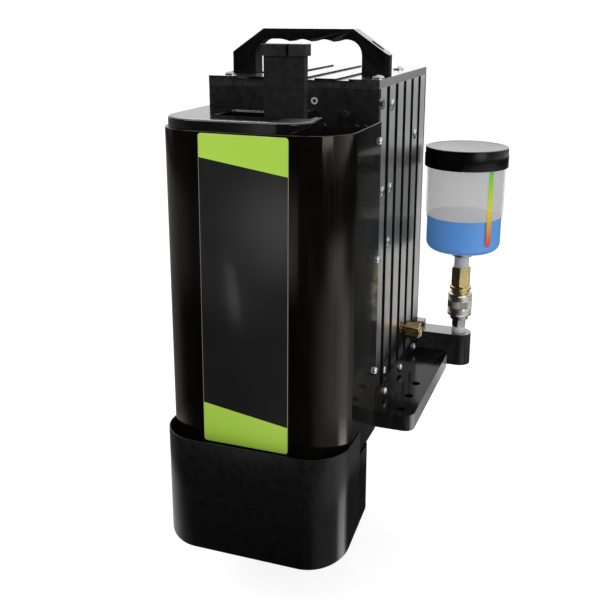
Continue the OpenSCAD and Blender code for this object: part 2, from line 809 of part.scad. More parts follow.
module lift_cylinder() {
    color("#b9bbbe") translate([axis_x, axis_y + lift_back, z_foot + foot_t]) difference() {
        union() {
            cylinder(d = lift_d, h = z_lift_top - z_foot - foot_t);
            translate([0, 0, -foot_t + 1]) cylinder(d = 5.8, h = foot_t, $fn = 32);
            // crimp rings at both caps
            for (z = [0, z_lift_top - z_foot - foot_t - 9]) translate([0, 0, z])
                cylinder(d = lift_d + 1.6, h = 9);
        }
        translate([0, 0, z_lift_top - z_foot - foot_t - reamer_stroke - 12])
            cylinder(d = lift_rod_d + 2 * run, h = reamer_stroke + 20);
    }
}

module lift_rod() {
    color("#d4d6d8") translate([axis_x, axis_y + lift_back, z_lift_top - reamer_stroke - 8])
        cylinder(d = lift_rod_d, h = z_carriage - z_lift_top + reamer_stroke + 8);
}

// ---- reamer ----

module carriage() {
    color("#8d9094") translate([0, 0, z_carriage]) linear_extrude(carriage_t) difference() {
        union() {
            translate([axis_x, axis_y]) circle(d = motor_d + 14);
            rrect(rod_xs[0] - bush_d / 2 - 5, rod_y - bush_d / 2 - 3, rod_xs[1] + bush_d / 2 + 5,
                axis_y + lift_back + lift_rod_d / 2 + 4, 5);
        }
        translate([axis_x, axis_y]) circle(d = motor_d);
        for (x = rod_xs) translate([x, rod_y]) circle(d = bush_d);
    }
}

// Bronze bushes whose flanges lie on the carriage
module guide_bushes() {
    color("#b8860b") for (x = rod_xs) translate([x, rod_y, z_carriage - (bush_l - carriage_t) / 2])
        difference() {
            union() {
                cylinder(d = bush_d - 0.04, h = bush_l);
                translate([0, 0, (bush_l + carriage_t) / 2]) cylinder(d = bush_d + 5, h = 2.5);
            }
            translate([0, 0, -1]) cylinder(d = rod_d + 2 * run, h = bush_l + 2);
        }
}

module air_motor() {
    color("#777a7e") translate([axis_x, axis_y, z_motor]) difference() {
        union() {
            cylinder(d = motor_d - 0.04, h = motor_l - 8);
            translate([0, 0, motor_l - 8 - eps]) cylinder(d1 = motor_d - 0.04, d2 = spindle_d + 14, h = 8);
            // collar that rests on the carriage
            translate([0, 0, z_carriage + carriage_t - z_motor]) cylinder(d = motor_d + 7, h = 5);
            // air port at the bottom
            translate([0, 0, -14]) cylinder(d = 14, h = 14 + eps);
        }
        // spindle bearing bore
        translate([0, 0, motor_l - 30]) cylinder(d = spindle_d + 2 * run, h = 31);
        translate([0, 0, -15]) cylinder(d = 8, h = 20, $fn = 32);
        // grip rings turned into the housing
        for (z = [14, 20, 26]) translate([0, 0, z]) rotate_extrude()
            translate([motor_d / 2 - 0.8, 0]) square([2, 2]);
    }
}

module chuck() {
    color("#a9acb0") translate([axis_x, axis_y, z_chuck]) difference() {
        union() {
            translate([0, 0, z_motor + motor_l - 28 - z_chuck])
                cylinder(d = spindle_d, h = z_chuck - z_motor - motor_l + 28 + eps);
            intersection() {
                hex_prism(chuck_d - 2, chuck_l);
                cylinder(d1 = chuck_d + 14, d2 = chuck_d - 4, h = chuck_l);
            }
            cylinder(d = chuck_d, h = chuck_l * 0.4);
        }
        translate([0, 0, chuck_l - 14]) cylinder(d = cutter_d - 4, h = 15);
    }
}

// Tubular cutter: straight flutes run down its wall and its rim ends in teeth
module reamer_cutter() {
    color("#d9c27a") translate([axis_x, axis_y, z_chuck + chuck_l]) difference() {
        union() {
            translate([0, 0, -13]) cylinder(d = cutter_d - 4.2, h = 13 + eps);
            cylinder(d = cutter_d, h = cutter_l - 2);
            translate([0, 0, cutter_l - 2 - eps]) cylinder(d1 = cutter_d, d2 = cutter_d - 2, h = 2);
        }
        translate([0, 0, cutter_l - 24]) cylinder(d = cutter_bore, h = 30);
        for (k = [0 : flute_n - 1]) rotate([0, 0, k * 360 / flute_n]) {
            // flute: a round-bottomed channel along the wall
            translate([cutter_d / 2 + 0.6, 0, 9]) cylinder(r = 2.1, h = cutter_l, $fn = 24);
            // relief behind each tooth
            translate([0, 1.2, cutter_l - 5]) rotate([0, 0, 18]) cube([cutter_d, 2.4, 8]);
        }
    }
}

// ---- torch clamp ----

z_jaw = z_head + (vee_h - jaw_h) / 2;
// the jaw's face touches the nozzle at the end of its stroke
jaw_y = axis_y + nozzle_r + clamp_stroke;
vee_back = axis_y - 7;
vee_apex = axis_y - nozzle_r * sqrt(2);

module v_block() {
    color("#3a3b3e") translate([0, 0, z_head]) linear_extrude(vee_h) difference() {
        translate([-mouth_left, mouth_y - 14]) square([mouth_left + tower_x, vee_back - mouth_y + 14]);
        // 90 degree vee whose flanks touch the nozzle
        polygon([[axis_x, vee_apex], [axis_x + 30, vee_apex + 30], [axis_x - 30, vee_apex + 30]]);
    }
}

module clamp_jaw() {
    color("#9a9da1") difference() {
        translate([axis_x - jaw_w / 2, jaw_y, z_jaw]) cube([jaw_w, jaw_d, jaw_h]);
        // grip grooves across the face
        for (k = [1 : 4]) translate([axis_x - jaw_w / 2 - 1, jaw_y - 1, z_jaw + k * jaw_h / 5 - 0.6])
            cube([jaw_w + 2, 1.8, 1.2]);
        translate([axis_x, jaw_y + jaw_d - 6, z_jaw + jaw_h / 2]) to_rear()
            cylinder(d = clamp_rod_d - 2, h = 7);
    }
}

module clamp_rod() {
    color("#d4d6d8") translate([axis_x, jaw_y + jaw_d, z_jaw + jaw_h / 2]) to_rear() {
        cylinder(d = clamp_rod_d, h = y_in - jaw_y - jaw_d + clamp_cyl_l - 15);
        translate([0, 0, -5.8]) cylinder(d = clamp_rod_d - 2.2, h = 6);
    }
}

module clamp_cylinder() {
    color("#b9bbbe") translate([axis_x, y_in, z_head + vee_h / 2]) to_rear() difference() {
        linear_extrude(clamp_cyl_l)
            rrect(-clamp_cyl_w / 2, -clamp_cyl_w / 2, clamp_cyl_w / 2, clamp_cyl_w / 2, 4);
        translate([0, 0, -1]) cylinder(d = clamp_rod_d + 2 * run, h = clamp_cyl_l - 8);
        // sensor slots along the profile
        for (a = [0 : 90 : 270]) rotate([0, 0, a]) translate([clamp_cyl_w / 2 - 2.4, 6, 6])
            cube([3, 3, clamp_cyl_l - 12]);
    }
}

// ---- spray ----

spray_x = 14;
spray_y = tower_y + tower_d + 5;

module spray_block() {
    color("#5b5e62") difference() {
        translate([spray_x, spray_y, z_head]) cube([24, 26, vee_h - 6]);
        for (y = [6, 20]) translate([spray_x - 1, spray_y + y, z_head + 12]) to_right()
            cylinder(d = 4, h = 12, $fn = 32);
    }
}

module spray_tips() {
    color("#c9a24a") for (y = [6, 20]) translate([spray_x, spray_y + y, z_head + 12]) to_left()
        difference() {
            union() {
                translate([0, 0, -6]) cylinder(d = 3.9, h = 7, $fn = 32);
                hex_prism(7, 4);
                translate([0, 0, 4 - eps]) cylinder(d1 = 5, d2 = 2.6, h = 5, $fn = 32);
            }
            translate([0, 0, 2]) cylinder(d = 1.2, h = 8, $fn = 16);
        }
}

// Fluid line from the reservoir arm to the spray block, inside the housing
line_y = min(arm_y, y_out - 8) + 5;
line_d = 5;

module fluid_line() {
    d = line_d;
    zx = z_arm - 13;
    y0 = line_y;
    x1 = core_x - 12;
    zs = z_head + 12;
    xs = tower_x + 40;
    color("#4b7fb8") {
        translate([x1, y0, zx]) to_right() cylinder(d = d, h = body_x - x1);
        translate([x1, y0, zx]) sphere(d = d, $fn = 32);
        translate([x1, y0, zx]) cylinder(d = d, h = zs - zx);
        translate([x1, y0, zs]) sphere(d = d, $fn = 32);
        translate([x1, y0, zs]) rotate([0, -90, 0]) cylinder(d = d, h = x1 - xs);
        translate([xs, y0, zs]) sphere(d = d, $fn = 32);
        translate([xs, spray_y + 13, zs]) to_rear() cylinder(d = d, h = y0 - spray_y - 13);
        translate([xs, spray_y + 13, zs]) sphere(d = d, $fn = 32);
        translate([spray_x + 24, spray_y + 13, zs]) to_right() cylinder(d = d, h = xs - spray_x - 24);
    }
}

// ---- wire cutter ----

module cutter_tower() {
    color("#242527") difference() {
        union() {
            translate([tower_x, tower_y, z_tower]) cube([tower_w, tower_d, z_cut - z_tower]);
        }
        // channel of the wedge rod
        translate([wedge_x - 0.1, cut_y - 3, z_tower - 1]) cube([wedge_w + 0.2, 6, z_cut - z_tower + 2]);
    }
}

module cutter_head() {
    color("#2b2c2f") difference() {
        translate([head_x, head_y, z_cut]) cube([head_w, head_d, head_h]);
        // channel of the moving blade, open at the bottom
        translate([wedge_x - 2, cut_y - blade_w / 2 - 0.1, z_cut - 1])
            cube([blade_right + blade_stroke + 1 - wedge_x + 2, blade_w + 0.2, blade_t + 1.15]);
        // pocket that the wedge rises into
        translate([wedge_x - 0.1, cut_y - 3, z_cut - 1]) cube([wedge_w + 0.2, 6, blade_stroke + wedge_w + 0.5]);
        // slot that the wire goes into from the front
        translate([slot_x - wire_slot / 2, head_y - 1, z_cut - 1])
            cube([wire_slot, wire_slot_d + 1, head_h + 2]);
    }
}

// Blade that shears the wire against the head; its left end is a 45 degree ramp
module cutter_blade() {
    z0 = z_cut + 0.1;
    z1 = z0 + blade_t - 0.1;
    x0 = wedge_line + blade_gap * 2;
    color("#cfd2d5") difference() {
        translate([0, cut_y + blade_w / 2, 0]) to_front() linear_extrude(blade_w)
            polygon([[x0 - z0, z0], [blade_right, z0], [blade_right, z1], [x0 - z1, z1]]);
        translate([slot_x - wire_slot / 2, cut_y - blade_w, z_cut - 1])
            cube([wire_slot, head_y + wire_slot_d - cut_y + blade_w, blade_t + 2]);
    }
}

// Rod whose 45 degree top drives the blade sideways as it rises
module cutter_wedge() {
    z1 = wedge_line - wedge_x;
    z2 = wedge_line - wedge_x - wedge_w;
    z0 = z_head_low - cut_cyl_l + 6;
    color("#9fa2a6") translate([0, cut_y + 2.9, 0]) to_front() linear_extrude(5.8)
        polygon([[wedge_x, z0], [wedge_x + wedge_w, z0], [wedge_x + wedge_w, z2], [wedge_x, z1]]);
}

module cutter_cylinder() {
    color("#b9bbbe") translate([wedge_x + wedge_w / 2, cut_y, z_head_low - cut_cyl_l]) difference() {
        cylinder(d = cut_cyl_d, h = cut_cyl_l - 0.02);
        translate([-wedge_w / 2 - 0.1, -3, 5]) cube([wedge_w + 0.2, 6, cut_cyl_l]);
    }
}

// ---- reservoir ----

module reservoir_arm() {
    y1 = arm_y + arm_d;
    r_end = arm_d / 2;
    color("#1f2022") difference() {
        union() {
            linear_extrude(z_arm) {
                translate([body_x, arm_y]) square([jar_x + arm_end - r_end - body_x, arm_d]);
                translate([jar_x + arm_end - r_end, jar_y]) circle(r_end);
            }
            translate([body_x - pad_in, y_back, 0]) cube([pad_in + pad_t, y1 - y_back, pad_h]);
        }
        // fluid passage: down from the plug, forward, then along to the housing
        translate([jar_x, jar_y, z_arm - 15]) cylinder(d = 8, h = 20, $fn = 32);
        translate([jar_x, jar_y, z_arm - 13]) to_front() cylinder(d = 4, h = jar_y - line_y, $fn = 32);
        translate([body_x - 1, line_y, z_arm - 13]) to_right()
            cylinder(d = 4, h = jar_x - body_x + 1, $fn = 32);
        for (z = arm_screw_zs) translate([back_x, y_back - 1, z]) to_rear()
            cylinder(d = 5.4, h = y1 - y_back + 2, $fn = 24);
    }
}

module arm_screws() {
    color("silver") for (z = arm_screw_zs) translate([back_x, arm_y + arm_d, z]) to_rear()
        button_screw(head_d_m5, head_h_m5, hex_m5, 4, arm_y + arm_d - y_out + 8);
}

module seal_collar() {
    color("#f2f2ee") translate([jar_x, jar_y, z_arm]) difference() {
        rotate_extrude($fn = 48) polygon([[0, 0], [collar_d / 2, 0], [collar_d / 2, collar_h - 1.5],
            [collar_d / 2 - 1, collar_h], [0, collar_h]]);
        translate([0, 0, -1]) cylinder(d = 8, h = collar_h + 2, $fn = 32);
    }
}

// Steel plug: thread through the collar, hexagon, and the nose that the coupler grips
module coupler_plug() {
    r = plug_nose_d / 2;
    color("#c4c8cc") translate([jar_x, jar_y, z_plug]) difference() {
        union() {
            translate([0, 0, -collar_h - 8]) cylinder(d = 7.9, h = collar_h + 8 + eps, $fn = 32);
            turned_hex(plug_af, plug_h);
            translate([0, 0, plug_h - eps]) rotate_extrude($fn = 48)
                polygon([[0, 0], [r + 1.2, 0], [r + 1.2, 6], [r - 0.8, 7.5], [r - 0.8, 11], [r, 12.5],
                    [r, plug_nose_l - 2], [r - 1.5, plug_nose_l], [0, plug_nose_l]]);
        }
        translate([0, 0, -collar_h - 9]) cylinder(d = 4, h = 60, $fn = 32);
    }
}

// Brass socket: barrel under the sleeve, flared collar, hexagon and the taped neck under the jar
module coupler_body() {
    barrel = z_hex - coupler_low;
    flange_up = z_flange - coupler_low;
    color("#c2a24c") translate([jar_x, jar_y, coupler_low]) difference() {
        union() {
            rotate_extrude($fn = 64) polygon([[0, 0], [coupler_d / 2, 0], [coupler_d / 2, flange_up],
                [coupler_flange_d / 2 - 0.6, flange_up], [coupler_flange_d / 2, flange_up + 0.6],
                [coupler_flange_d / 2, barrel - 0.8], [coupler_flange_d / 2 - 0.8, barrel], [0, barrel]]);
            translate([0, 0, barrel - eps]) turned_hex(coupler_af, coupler_hex_h + eps);
            translate([0, 0, barrel + coupler_hex_h - eps]) cylinder(d = neck_d, h = neck_h + eps);
        }
        // socket bore for the plug's nose, then the fluid passage up to the jar
        translate([0, 0, -1]) cylinder(r = plug_nose_d / 2 + 1.2 + touch, h = plug_nose_l + 2);
        translate([0, 0, -1]) cylinder(d = 5, h = 200, $fn = 32);
    }
}

// Nickel-plated sleeve: rings and a knurled band, pushed up to let the plug go
module coupler_sleeve() {
    r = sleeve_d / 2;
    l = sleeve_l;
    color("#b5b0a4") translate([jar_x, jar_y, z_sleeve]) difference() {
        rotate_extrude($fn = 72) polygon(concat([[0, 0], [r - 1.2, 0], [r, 1.2]],
            [for (k = [0 : 2], p = [[0, 0], [-0.7, 0.35], [-0.7, 1.1], [0, 1.45]]) [r + p[0], 2 + 2.2 * k + p[1]]],
            [[r, 9], [r - 0.6, 9.6], [r - 0.6, l - 7.6], [r, l - 7]],
            [for (k = [0 : 1], p = [[0, 0], [-0.7, 0.35], [-0.7, 1.1], [0, 1.45]])
                [r + p[0], l - 6 + 2.2 * k + p[1]]],
            [[r, l - 0.8], [r - 0.8, l], [0, l]]));
        translate([0, 0, -1]) cylinder(d = coupler_d + 2 * run, h = l + 2);
    }
}

// Half section of the jar's wall, from the axis out
module jar_section(grow, top) {
    r = jar_rr - grow;
    c = jar_r - grow;
    intersection() {
        union() {
            translate([0, grow]) square([r - c, top - grow]);
            translate([0, grow + c]) square([r, top - grow - c]);
            translate([r - c, grow + c]) circle(c, $fn = 64);
        }
        square([r + 1, top]);
    }
}

module reservoir_jar() {
    color([0.85, 0.87, 0.9, 0.55]) translate([jar_x, jar_y, z_jar]) difference() {
        union() {
            rotate_extrude($fn = 128) jar_section(0, jar_h);
            // bead that the cap closes on
            translate([0, 0, jar_h - cap_h + 1]) cylinder(d = jar_d + 1, h = 2, $fn = 128);
            translate([0, 0, -boss_h]) cylinder(d = boss_d, h = boss_h + eps);
        }
        rotate_extrude($fn = 128) jar_section(jar_t, jar_h + 1);
        translate([0, 0, -boss_h - 1]) cylinder(d = 5, h = boss_h + 5, $fn = 32);
    }
}

module spray_fluid() {
    color("#3e73b4") translate([jar_x, jar_y, z_jar])
        rotate_extrude($fn = 128) jar_section(jar_t, jar_t + fluid_level);
}

module reservoir_cap() {
    inner = jar_rr + 0.5 + touch;
    color("#141414") translate([jar_x, jar_y, z_cap_low]) difference() {
        rotate_extrude($fn = 128) polygon([[0, 0], [cap_rr, 0], [cap_rr, cap_h - 8], [cap_rr - 0.6, cap_h - 7.4],
            [cap_rr - 0.6, cap_h - 1], [cap_rr - 1.6, cap_h], [0, cap_h]]);
        translate([0, 0, -1]) cylinder(r = inner, h = cap_h - cap_t + 1, $fn = 128);
    }
}

module cap_liner() {
    color("#e8e8e0") translate([jar_x, jar_y, z_jar_top])
        cylinder(r = jar_rr - 0.5, h = z_cap_low + cap_h - cap_t - z_jar_top, $fn = 96);
}

// ---- debris bin ----

bin_y = y_nose - bin_lead;
z_bin = bin_up - bin_h;

module bin_outline(grow) {
    half = bin_w / 2 - grow;
    rf = bin_r - grow;
    rb = bin_rear_r - grow;
    y0 = bin_y + grow;
    y1 = bin_y + bin_d - grow;
    translate([-half, y0 + rf]) square([2 * half, y1 - y0 - rf - rb]);
    translate([rf - half, y0]) square([2 * (half - rf), rf + eps]);
    translate([rb - half, y1 - rb - eps]) square([2 * (half - rb), rb + eps]);
    for (m = [-1, 1]) {
        translate([m * (half - rf), y0 + rf]) circle(rf, $fn = 96);
        translate([m * (half - rb), y1 - rb]) circle(rb);
    }
}

// Space above the bin's sloping floor, raised by up
module bin_above(up) {
    y1 = bin_y + bin_d;
    slope = bin_rise / bin_d;
    translate([-bin_w, 0, 0]) rotate([90, 0, 90]) linear_extrude(2 * bin_w)
        polygon([[bin_y - 1, z_bin + up - slope], [y1 + 1, z_bin + up + slope * (bin_d + 1)],
            [y1 + 1, bin_up + 2], [bin_y - 1, bin_up + 2]]);
}

module debris_bin() {
    color("#202124") difference() {
        intersection() {
            translate([0, 0, z_bin - 1]) linear_extrude(bin_h + 1) bin_outline(0);
            bin_above(0);
        }
        intersection() {
            translate([0, 0, z_bin - 1]) linear_extrude(bin_h + 2) bin_outline(bin_t);
            bin_above(bin_t);
        }
        // rear rim cut down so that the shell's sides pass behind it
        translate([-bin_w, bin_y + bin_d - bin_notch_l, z_shell - bin_notch_gap])
            cube([2 * bin_w, bin_notch_l + 1, bin_up + bin_notch_gap - z_shell + 1]);
    }
}

// Magnet blocks under the front plate that hold the bin's rear wall
module bin_magnets() {
    color("#5a5a5a") for (x = [-60, 40]) translate([x, bin_y + bin_d + touch, z_low - 12])
        cube([20, y_in - bin_y - bin_d - touch, 12]);
}

// ---- air side ----

module air_inlet() {
    color("#b8975a") translate([body_x, y_front + inlet_back, inlet_z]) to_right() difference() {
        union() {
            translate([0, 0, -side_t]) cylinder(d = inlet_shank_d - 0.04, h = side_t + inlet_shank + eps);
            cylinder(d = inlet_shank_d + 2.4, h = 1.6);
            translate([0, 0, inlet_shank]) turned_hex(inlet_af, inlet_l - inlet_shank);
        }
        translate([0, 0, -side_t - 1]) cylinder(d = 6, h = 60, $fn = 32);
        translate([0, 0, inlet_l - inlet_bore_l]) cylinder(d = inlet_bore, h = inlet_bore_l + 1);
    }
}

z_manifold = 110;

module valve_manifold() {
    color("#9b9ea2") difference() {
        translate([-55, y_out - 30, z_manifold]) cube([110, 30, 32]);
        for (k = [-1 : 1]) translate([k * 34, y_out - 31, z_manifold + 16]) to_rear()
            cylinder(d = 6, h = 12, $fn = 32);
    }
}

module air_valves() {
    color("#33363a") for (k = [-1 : 1]) translate([k * 34, y_out - 30, z_manifold + 4]) {
        translate([-12, -60, 0]) cube([24, 60, 24]);
        translate([0, -60, 12]) to_front() cylinder(d = 16, h = 22, $fn = 32);
    }
}

module air_silencer() {
    color("#b08d57") translate([40, y_back, 40]) to_rear() difference() {
        union() {
            translate([0, 0, -back_t - 4]) cylinder(d = 13.2, h = back_t + 4 + eps);
            turned_hex(17, 6);
            translate([0, 0, 6 - eps]) cylinder(d = 15, h = 16);
            translate([0, 0, 22 - 2 * eps]) cylinder(d1 = 15, d2 = 10, h = 4);
        }
        translate([0, 0, -back_t - 5]) cylinder(d = 8, h = 20, $fn = 32);
    }
}

// Fittings on the front plate over the deck: a set screw and a blanking plug
module panel_fittings() {
    color("silver") translate([22.6, y_front, z_deck + 7]) to_front() difference() {
        cylinder(d = 6.5, h = 1.6, $fn = 32);
        translate([0, 0, 0.4]) cylinder(d = 3.4, h = 3, $fn = 6);
    }
    color("#2c2c2e") translate([deck_right + 1.7, y_front, z_deck - 4]) to_front()
        rotate_extrude($fn = 32) polygon([[0, 0], [3.8, 0], [3.8, 3], [3, 4.5], [0, 4.5]]);
    color("silver") for (x = [31.7, 62.5, 70.9]) translate([x, y_front, z_rim - 6]) to_front()
        button_screw(5.5, 2, 2.2, 3, 0);
}

side_plate_right();
side_plate_left();
front_plate();
back_plate();
base_plate();
lid();
lid_screws();
handle();
handle_screws();
flange_right();
flange_left();
flange_screws();
front_shell();
shell_rails();
shell_screws();
deck();
head_plate();
foot_plate();
guide_rods();
lift_cylinder();
v_block();
clamp_cylinder();
spray_block();
spray_tips();
cutter_tower();
cutter_head();
cutter_cylinder();
cutter_wedge();
cutter_blade();
label_plate();
reservoir_arm();
arm_screws();
seal_collar();
coupler_plug();
air_inlet();
valve_manifold();
air_valves();
fluid_line();
back_screws();
side_screws();
panel_fittings();
air_silencer();
debris_bin();
bin_magnets();
carriage();
guide_bushes();
air_motor();
lift_rod();
chuck();
reamer_cutter();
clamp_jaw();
clamp_rod();
reservoir_jar();
spray_fluid();
coupler_body();
coupler_sleeve();
reservoir_cap();
cap_liner();
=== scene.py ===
# Looks of a welding torch cleaning station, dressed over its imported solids
import json
import math

import bmesh
import bpy
import numpy as np
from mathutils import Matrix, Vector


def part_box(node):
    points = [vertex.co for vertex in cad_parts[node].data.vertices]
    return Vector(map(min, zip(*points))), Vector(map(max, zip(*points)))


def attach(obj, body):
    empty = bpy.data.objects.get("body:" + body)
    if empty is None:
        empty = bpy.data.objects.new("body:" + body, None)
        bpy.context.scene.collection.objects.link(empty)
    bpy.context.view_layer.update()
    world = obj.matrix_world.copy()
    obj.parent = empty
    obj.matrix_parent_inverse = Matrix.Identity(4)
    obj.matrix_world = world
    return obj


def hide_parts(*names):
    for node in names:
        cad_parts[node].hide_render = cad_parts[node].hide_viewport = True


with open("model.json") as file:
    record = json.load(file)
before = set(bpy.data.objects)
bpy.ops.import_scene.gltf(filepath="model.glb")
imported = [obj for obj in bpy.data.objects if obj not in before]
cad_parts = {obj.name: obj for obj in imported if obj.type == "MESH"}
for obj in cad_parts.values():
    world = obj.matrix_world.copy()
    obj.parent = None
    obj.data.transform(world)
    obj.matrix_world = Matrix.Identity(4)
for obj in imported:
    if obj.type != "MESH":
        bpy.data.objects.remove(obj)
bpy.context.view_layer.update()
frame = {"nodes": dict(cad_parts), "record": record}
nodes = frame["nodes"]
mm = 0.001
print("frame loaded:", len(nodes), "solids")


def addObject(name, data):
    # a new object, linked into the scene
    made = bpy.data.objects.new(name, data)
    bpy.context.scene.collection.objects.link(made)
    return made


cameraView = {
    "place": (0.2857, -0.8056, 0.3925),
    "azimuth": 20.06,  # degrees
    "elevation": 14.74,
    "lens": 53.1,
    "shiftUp": -0.1,
    "sensor": 36,
    "nearest": 0.02,
}


def makeCamera():
    # turned from straight down: 90 degrees less the elevation, then the azimuth about z
    eye = bpy.data.cameras.new("photoEye")
    eye.sensor_width = cameraView["sensor"]
    eye.lens = cameraView["lens"]
    eye.shift_y = cameraView["shiftUp"]
    eye.clip_start = cameraView["nearest"]
    eyeObject = addObject("photoEye", eye)
    eyeObject.location = cameraView["place"]
    eyeObject.rotation_euler = (math.radians(90 - cameraView["elevation"]), 0, math.radians(cameraView["azimuth"]))
    bpy.context.scene.camera = eyeObject
    bpy.context.scene.view_settings.view_transform = "Standard"


makeCamera()

studio = {
    "floorHeight": -150 * mm,  # clear of the bin as it comes down
    "floorHalf": 9.0,
    "floorTone": (0.5, 0.5, 0.5),
    "floorGlow": 0.75,
    "lamps": {  # place, power and size
        "keyLamp": ((-1.3, -1.7, 1.9), 18, 1.4),
        "fillLamp": ((1.9, -1.4, 0.9), 11, 1.2),
        "backLamp": ((-0.9, 1.5, 1.8), 9, 0.7),
    },
    "aim": (0, 0, 0.1),
    "lean": (0.25, 0.35),  # rearwards = y + 0.25 x + 0.35 z: the room is dim where a viewer would stand
    # the room's strength from one rearwards value to another: (from, to, strength, strength)
    "roomInShine": (-0.55, 0.75, 0.02, 0.95),
    "roomInMatt": (-0.8, 0.7, 0.5, 0.75),
    # what polished faces see on the floor, in rings from the foot outwards: (bearing in degrees, strength / gain)
    "stripGain": 2.5,
    "ringMiddle": -130 * mm,  # the rings' centre in y
    "footCentre": 55 * mm,  # the ring at the foot takes its bearings from this x
    "footRing": [(-180, 0.28), (-172, 0.24), (-163, 0.12), (-153.5, 0.05), (-143, 0.01), (-112, 0.006),
                 (-92.5, 0.003), (-75, 0.003), (-66.5, 0.06), (-52.5, 0.11), (-32.5, 0.12), (2.5, 0.12), (11, 1.0),
                 (28.5, 1.0), (40, 0.05), (52.5, 0.01), (79, 0.01), (85.5, 0.1), (100.5, 0.25), (180, 0.28)],
    "nearRing": [(-180, 0.08), (-165, 0.03), (-150, 0.004), (-90, 0.001), (-78, 0.004), (-70, 0.016),
                 (-60, 0.057), (-50, 0.1), (-40, 0.158), (-30, 0.2), (-20, 0.27), (-10, 0.25), (1, 0.33), (12, 0.36),
                 (25, 0.32), (40, 0.12), (55, 0.07), (62, 0.05), (66, 0.012), (71, 0.012), (75, 0.3), (84, 0.35),
                 (95, 0.05), (180, 0.08)],
    "farRing": [(-180, 0.12), (-140, 0.08), (-118, 0.03), (-113, 0.05), (-111, 0.32), (-107.3, 0.32),
                (-105.5, 0.02), (-84, 0.005), (-74, 0.035), (-65, 0.025), (-56, 0.008), (-46, 0.024), (-36, 0.086),
                (-26, 0.25), (-15, 0.4), (-3, 0.45), (8.5, 0.36), (22, 0.104), (36, 0.033), (58, 0.04), (66, 0.025),
                (73.3, 0.025), (76, 0.35), (88, 0.35), (112, 0.35), (120, 0.1), (180, 0.12)],
    "lastRing": [(-180, 0.12), (-140, 0.08), (-118, 0.03), (-113, 0.05), (-111.5, 0.3), (-108, 0.3), (-106, 0.02),
                 (-80, 0.02), (-70, 0.01), (-40, 0.01), (-10, 0.02), (20, 0.01), (60, 0.004), (74, 0.004), (77, 0.3),
                 (88, 0.35), (112, 0.35), (120, 0.1), (180, 0.12)],
    "rings": [("nearRing", 0.37, 0.44), ("farRing", 0.9, 1.35), ("lastRing", 1.6, 2.3)],  # fades in between two reaches
    "farDim": (3.0, 5.0, 1.0, 0.2),  # the strips dim between two reaches
}


def nodeTree(owner):
    # the owner's shader tree, emptied
    owner.use_nodes = True
    tree = owner.node_tree
    tree.nodes.clear()
    return tree


def place(tree, kind, inputs=(), **settings):
    # one node, with its settings and its input values or links
    made = tree.nodes.new(kind)
    for key, value in settings.items():
        setattr(made, key, value)
    for key, value in dict(inputs).items():
        if isinstance(value, bpy.types.NodeSocket):
            tree.links.new(value, made.inputs[key])
        else:
            made.inputs[key].default_value = value
    return made


def reckon(tree, operation, *values, clamp=False):
    # one step of arithmetic on values or links
    return place(tree, "ShaderNodeMath", enumerate(values), operation=operation, use_clamp=clamp).outputs[0]


def between(tree, value, low, high, start=0.0, end=1.0, **settings):
    # start up to the low value, end from the high one, and even between them
    return place(tree, "ShaderNodeMapRange", enumerate((value, low, high, start, end)), **settings).outputs[0]


def fade(tree, factor, first, second):
    # first + factor * (second - first)
    return place(tree, "ShaderNodeMix", {0: factor, 2: first, 3: second}).outputs[0]


def mixColours(tree, mask, first, second):
    # first + mask * (second - first), for colours or links
    made = place(tree, "ShaderNodeMix", {0: mask}, data_type="RGBA")
    for key, value in ((6, first), (7, second)):
        if isinstance(value, bpy.types.NodeSocket):
            tree.links.new(value, made.inputs[key])
        else:
            made.inputs[key].default_value = tuple(value) + (1,)
    return made.outputs[2]


def ownPlace(tree):
    # the point in its piece's own frame
    return place(tree, "ShaderNodeTexCoord").outputs["Object"]


def axesOf(tree, vector):
    # x, y and z of a vector
    return place(tree, "ShaderNodeSeparateXYZ", {0: vector}).outputs


def distanceTo(tree, spot, centre):
    # length of spot - centre
    return place(tree, "ShaderNodeVectorMath", {0: spot, 1: centre}, operation="DISTANCE").outputs["Value"]


def cloud(tree, vector, scale, detail, **more):
    # uneven tone about 0.5
    return place(tree, "ShaderNodeTexNoise", {"Vector": vector, "Scale": scale, "Detail": detail, **more}).outputs[0]


def rayKind(tree, kind):
    # 1 on the rays of that kind, else 0
    return place(tree, "ShaderNodeLightPath").outputs["Is " + kind + " Ray"]


def setRamp(ramp, stops):
    # colour ramp from (position, grey or colour) pairs
    band = ramp.color_ramp
    while len(band.elements) < len(stops):
        band.elements.new(0.5)
    for element, (position, tone) in zip(band.elements, stops):
        element.position = position
        element.color = (tone,) * 3 + (1,) if isinstance(tone, (int, float)) else tuple(tone) + (1,)
    return ramp.outputs[0]


def makeSurroundings():
    # white as seen directly; its light comes mostly from behind the station
    world = bpy.data.worlds.new("paleRoom")
    bpy.context.scene.world = world
    tree = nodeTree(world)
    direction = axesOf(tree, place(tree, "ShaderNodeTexCoord").outputs["Generated"])
    sideways = reckon(tree, "MULTIPLY", direction["X"], studio["lean"][0])
    upward = reckon(tree, "MULTIPLY", direction["Z"], studio["lean"][1])
    rearwards = reckon(tree, "ADD", reckon(tree, "ADD", sideways, upward), direction["Y"])
    shade = between(tree, rearwards, *studio["roomInShine"], interpolation_type="SMOOTHSTEP")
    lit = between(tree, rearwards, *studio["roomInMatt"])
    strength = fade(tree, rayKind(tree, "Glossy"), lit, shade)
    seen = reckon(tree, "MAXIMUM", rayKind(tree, "Camera"), rayKind(tree, "Transmission"))
    light = place(tree, "ShaderNodeBackground", {0: (1, 1, 1, 1), 1: fade(tree, seen, strength, 1.0)})
    place(tree, "ShaderNodeOutputWorld", {0: light.outputs[0]})


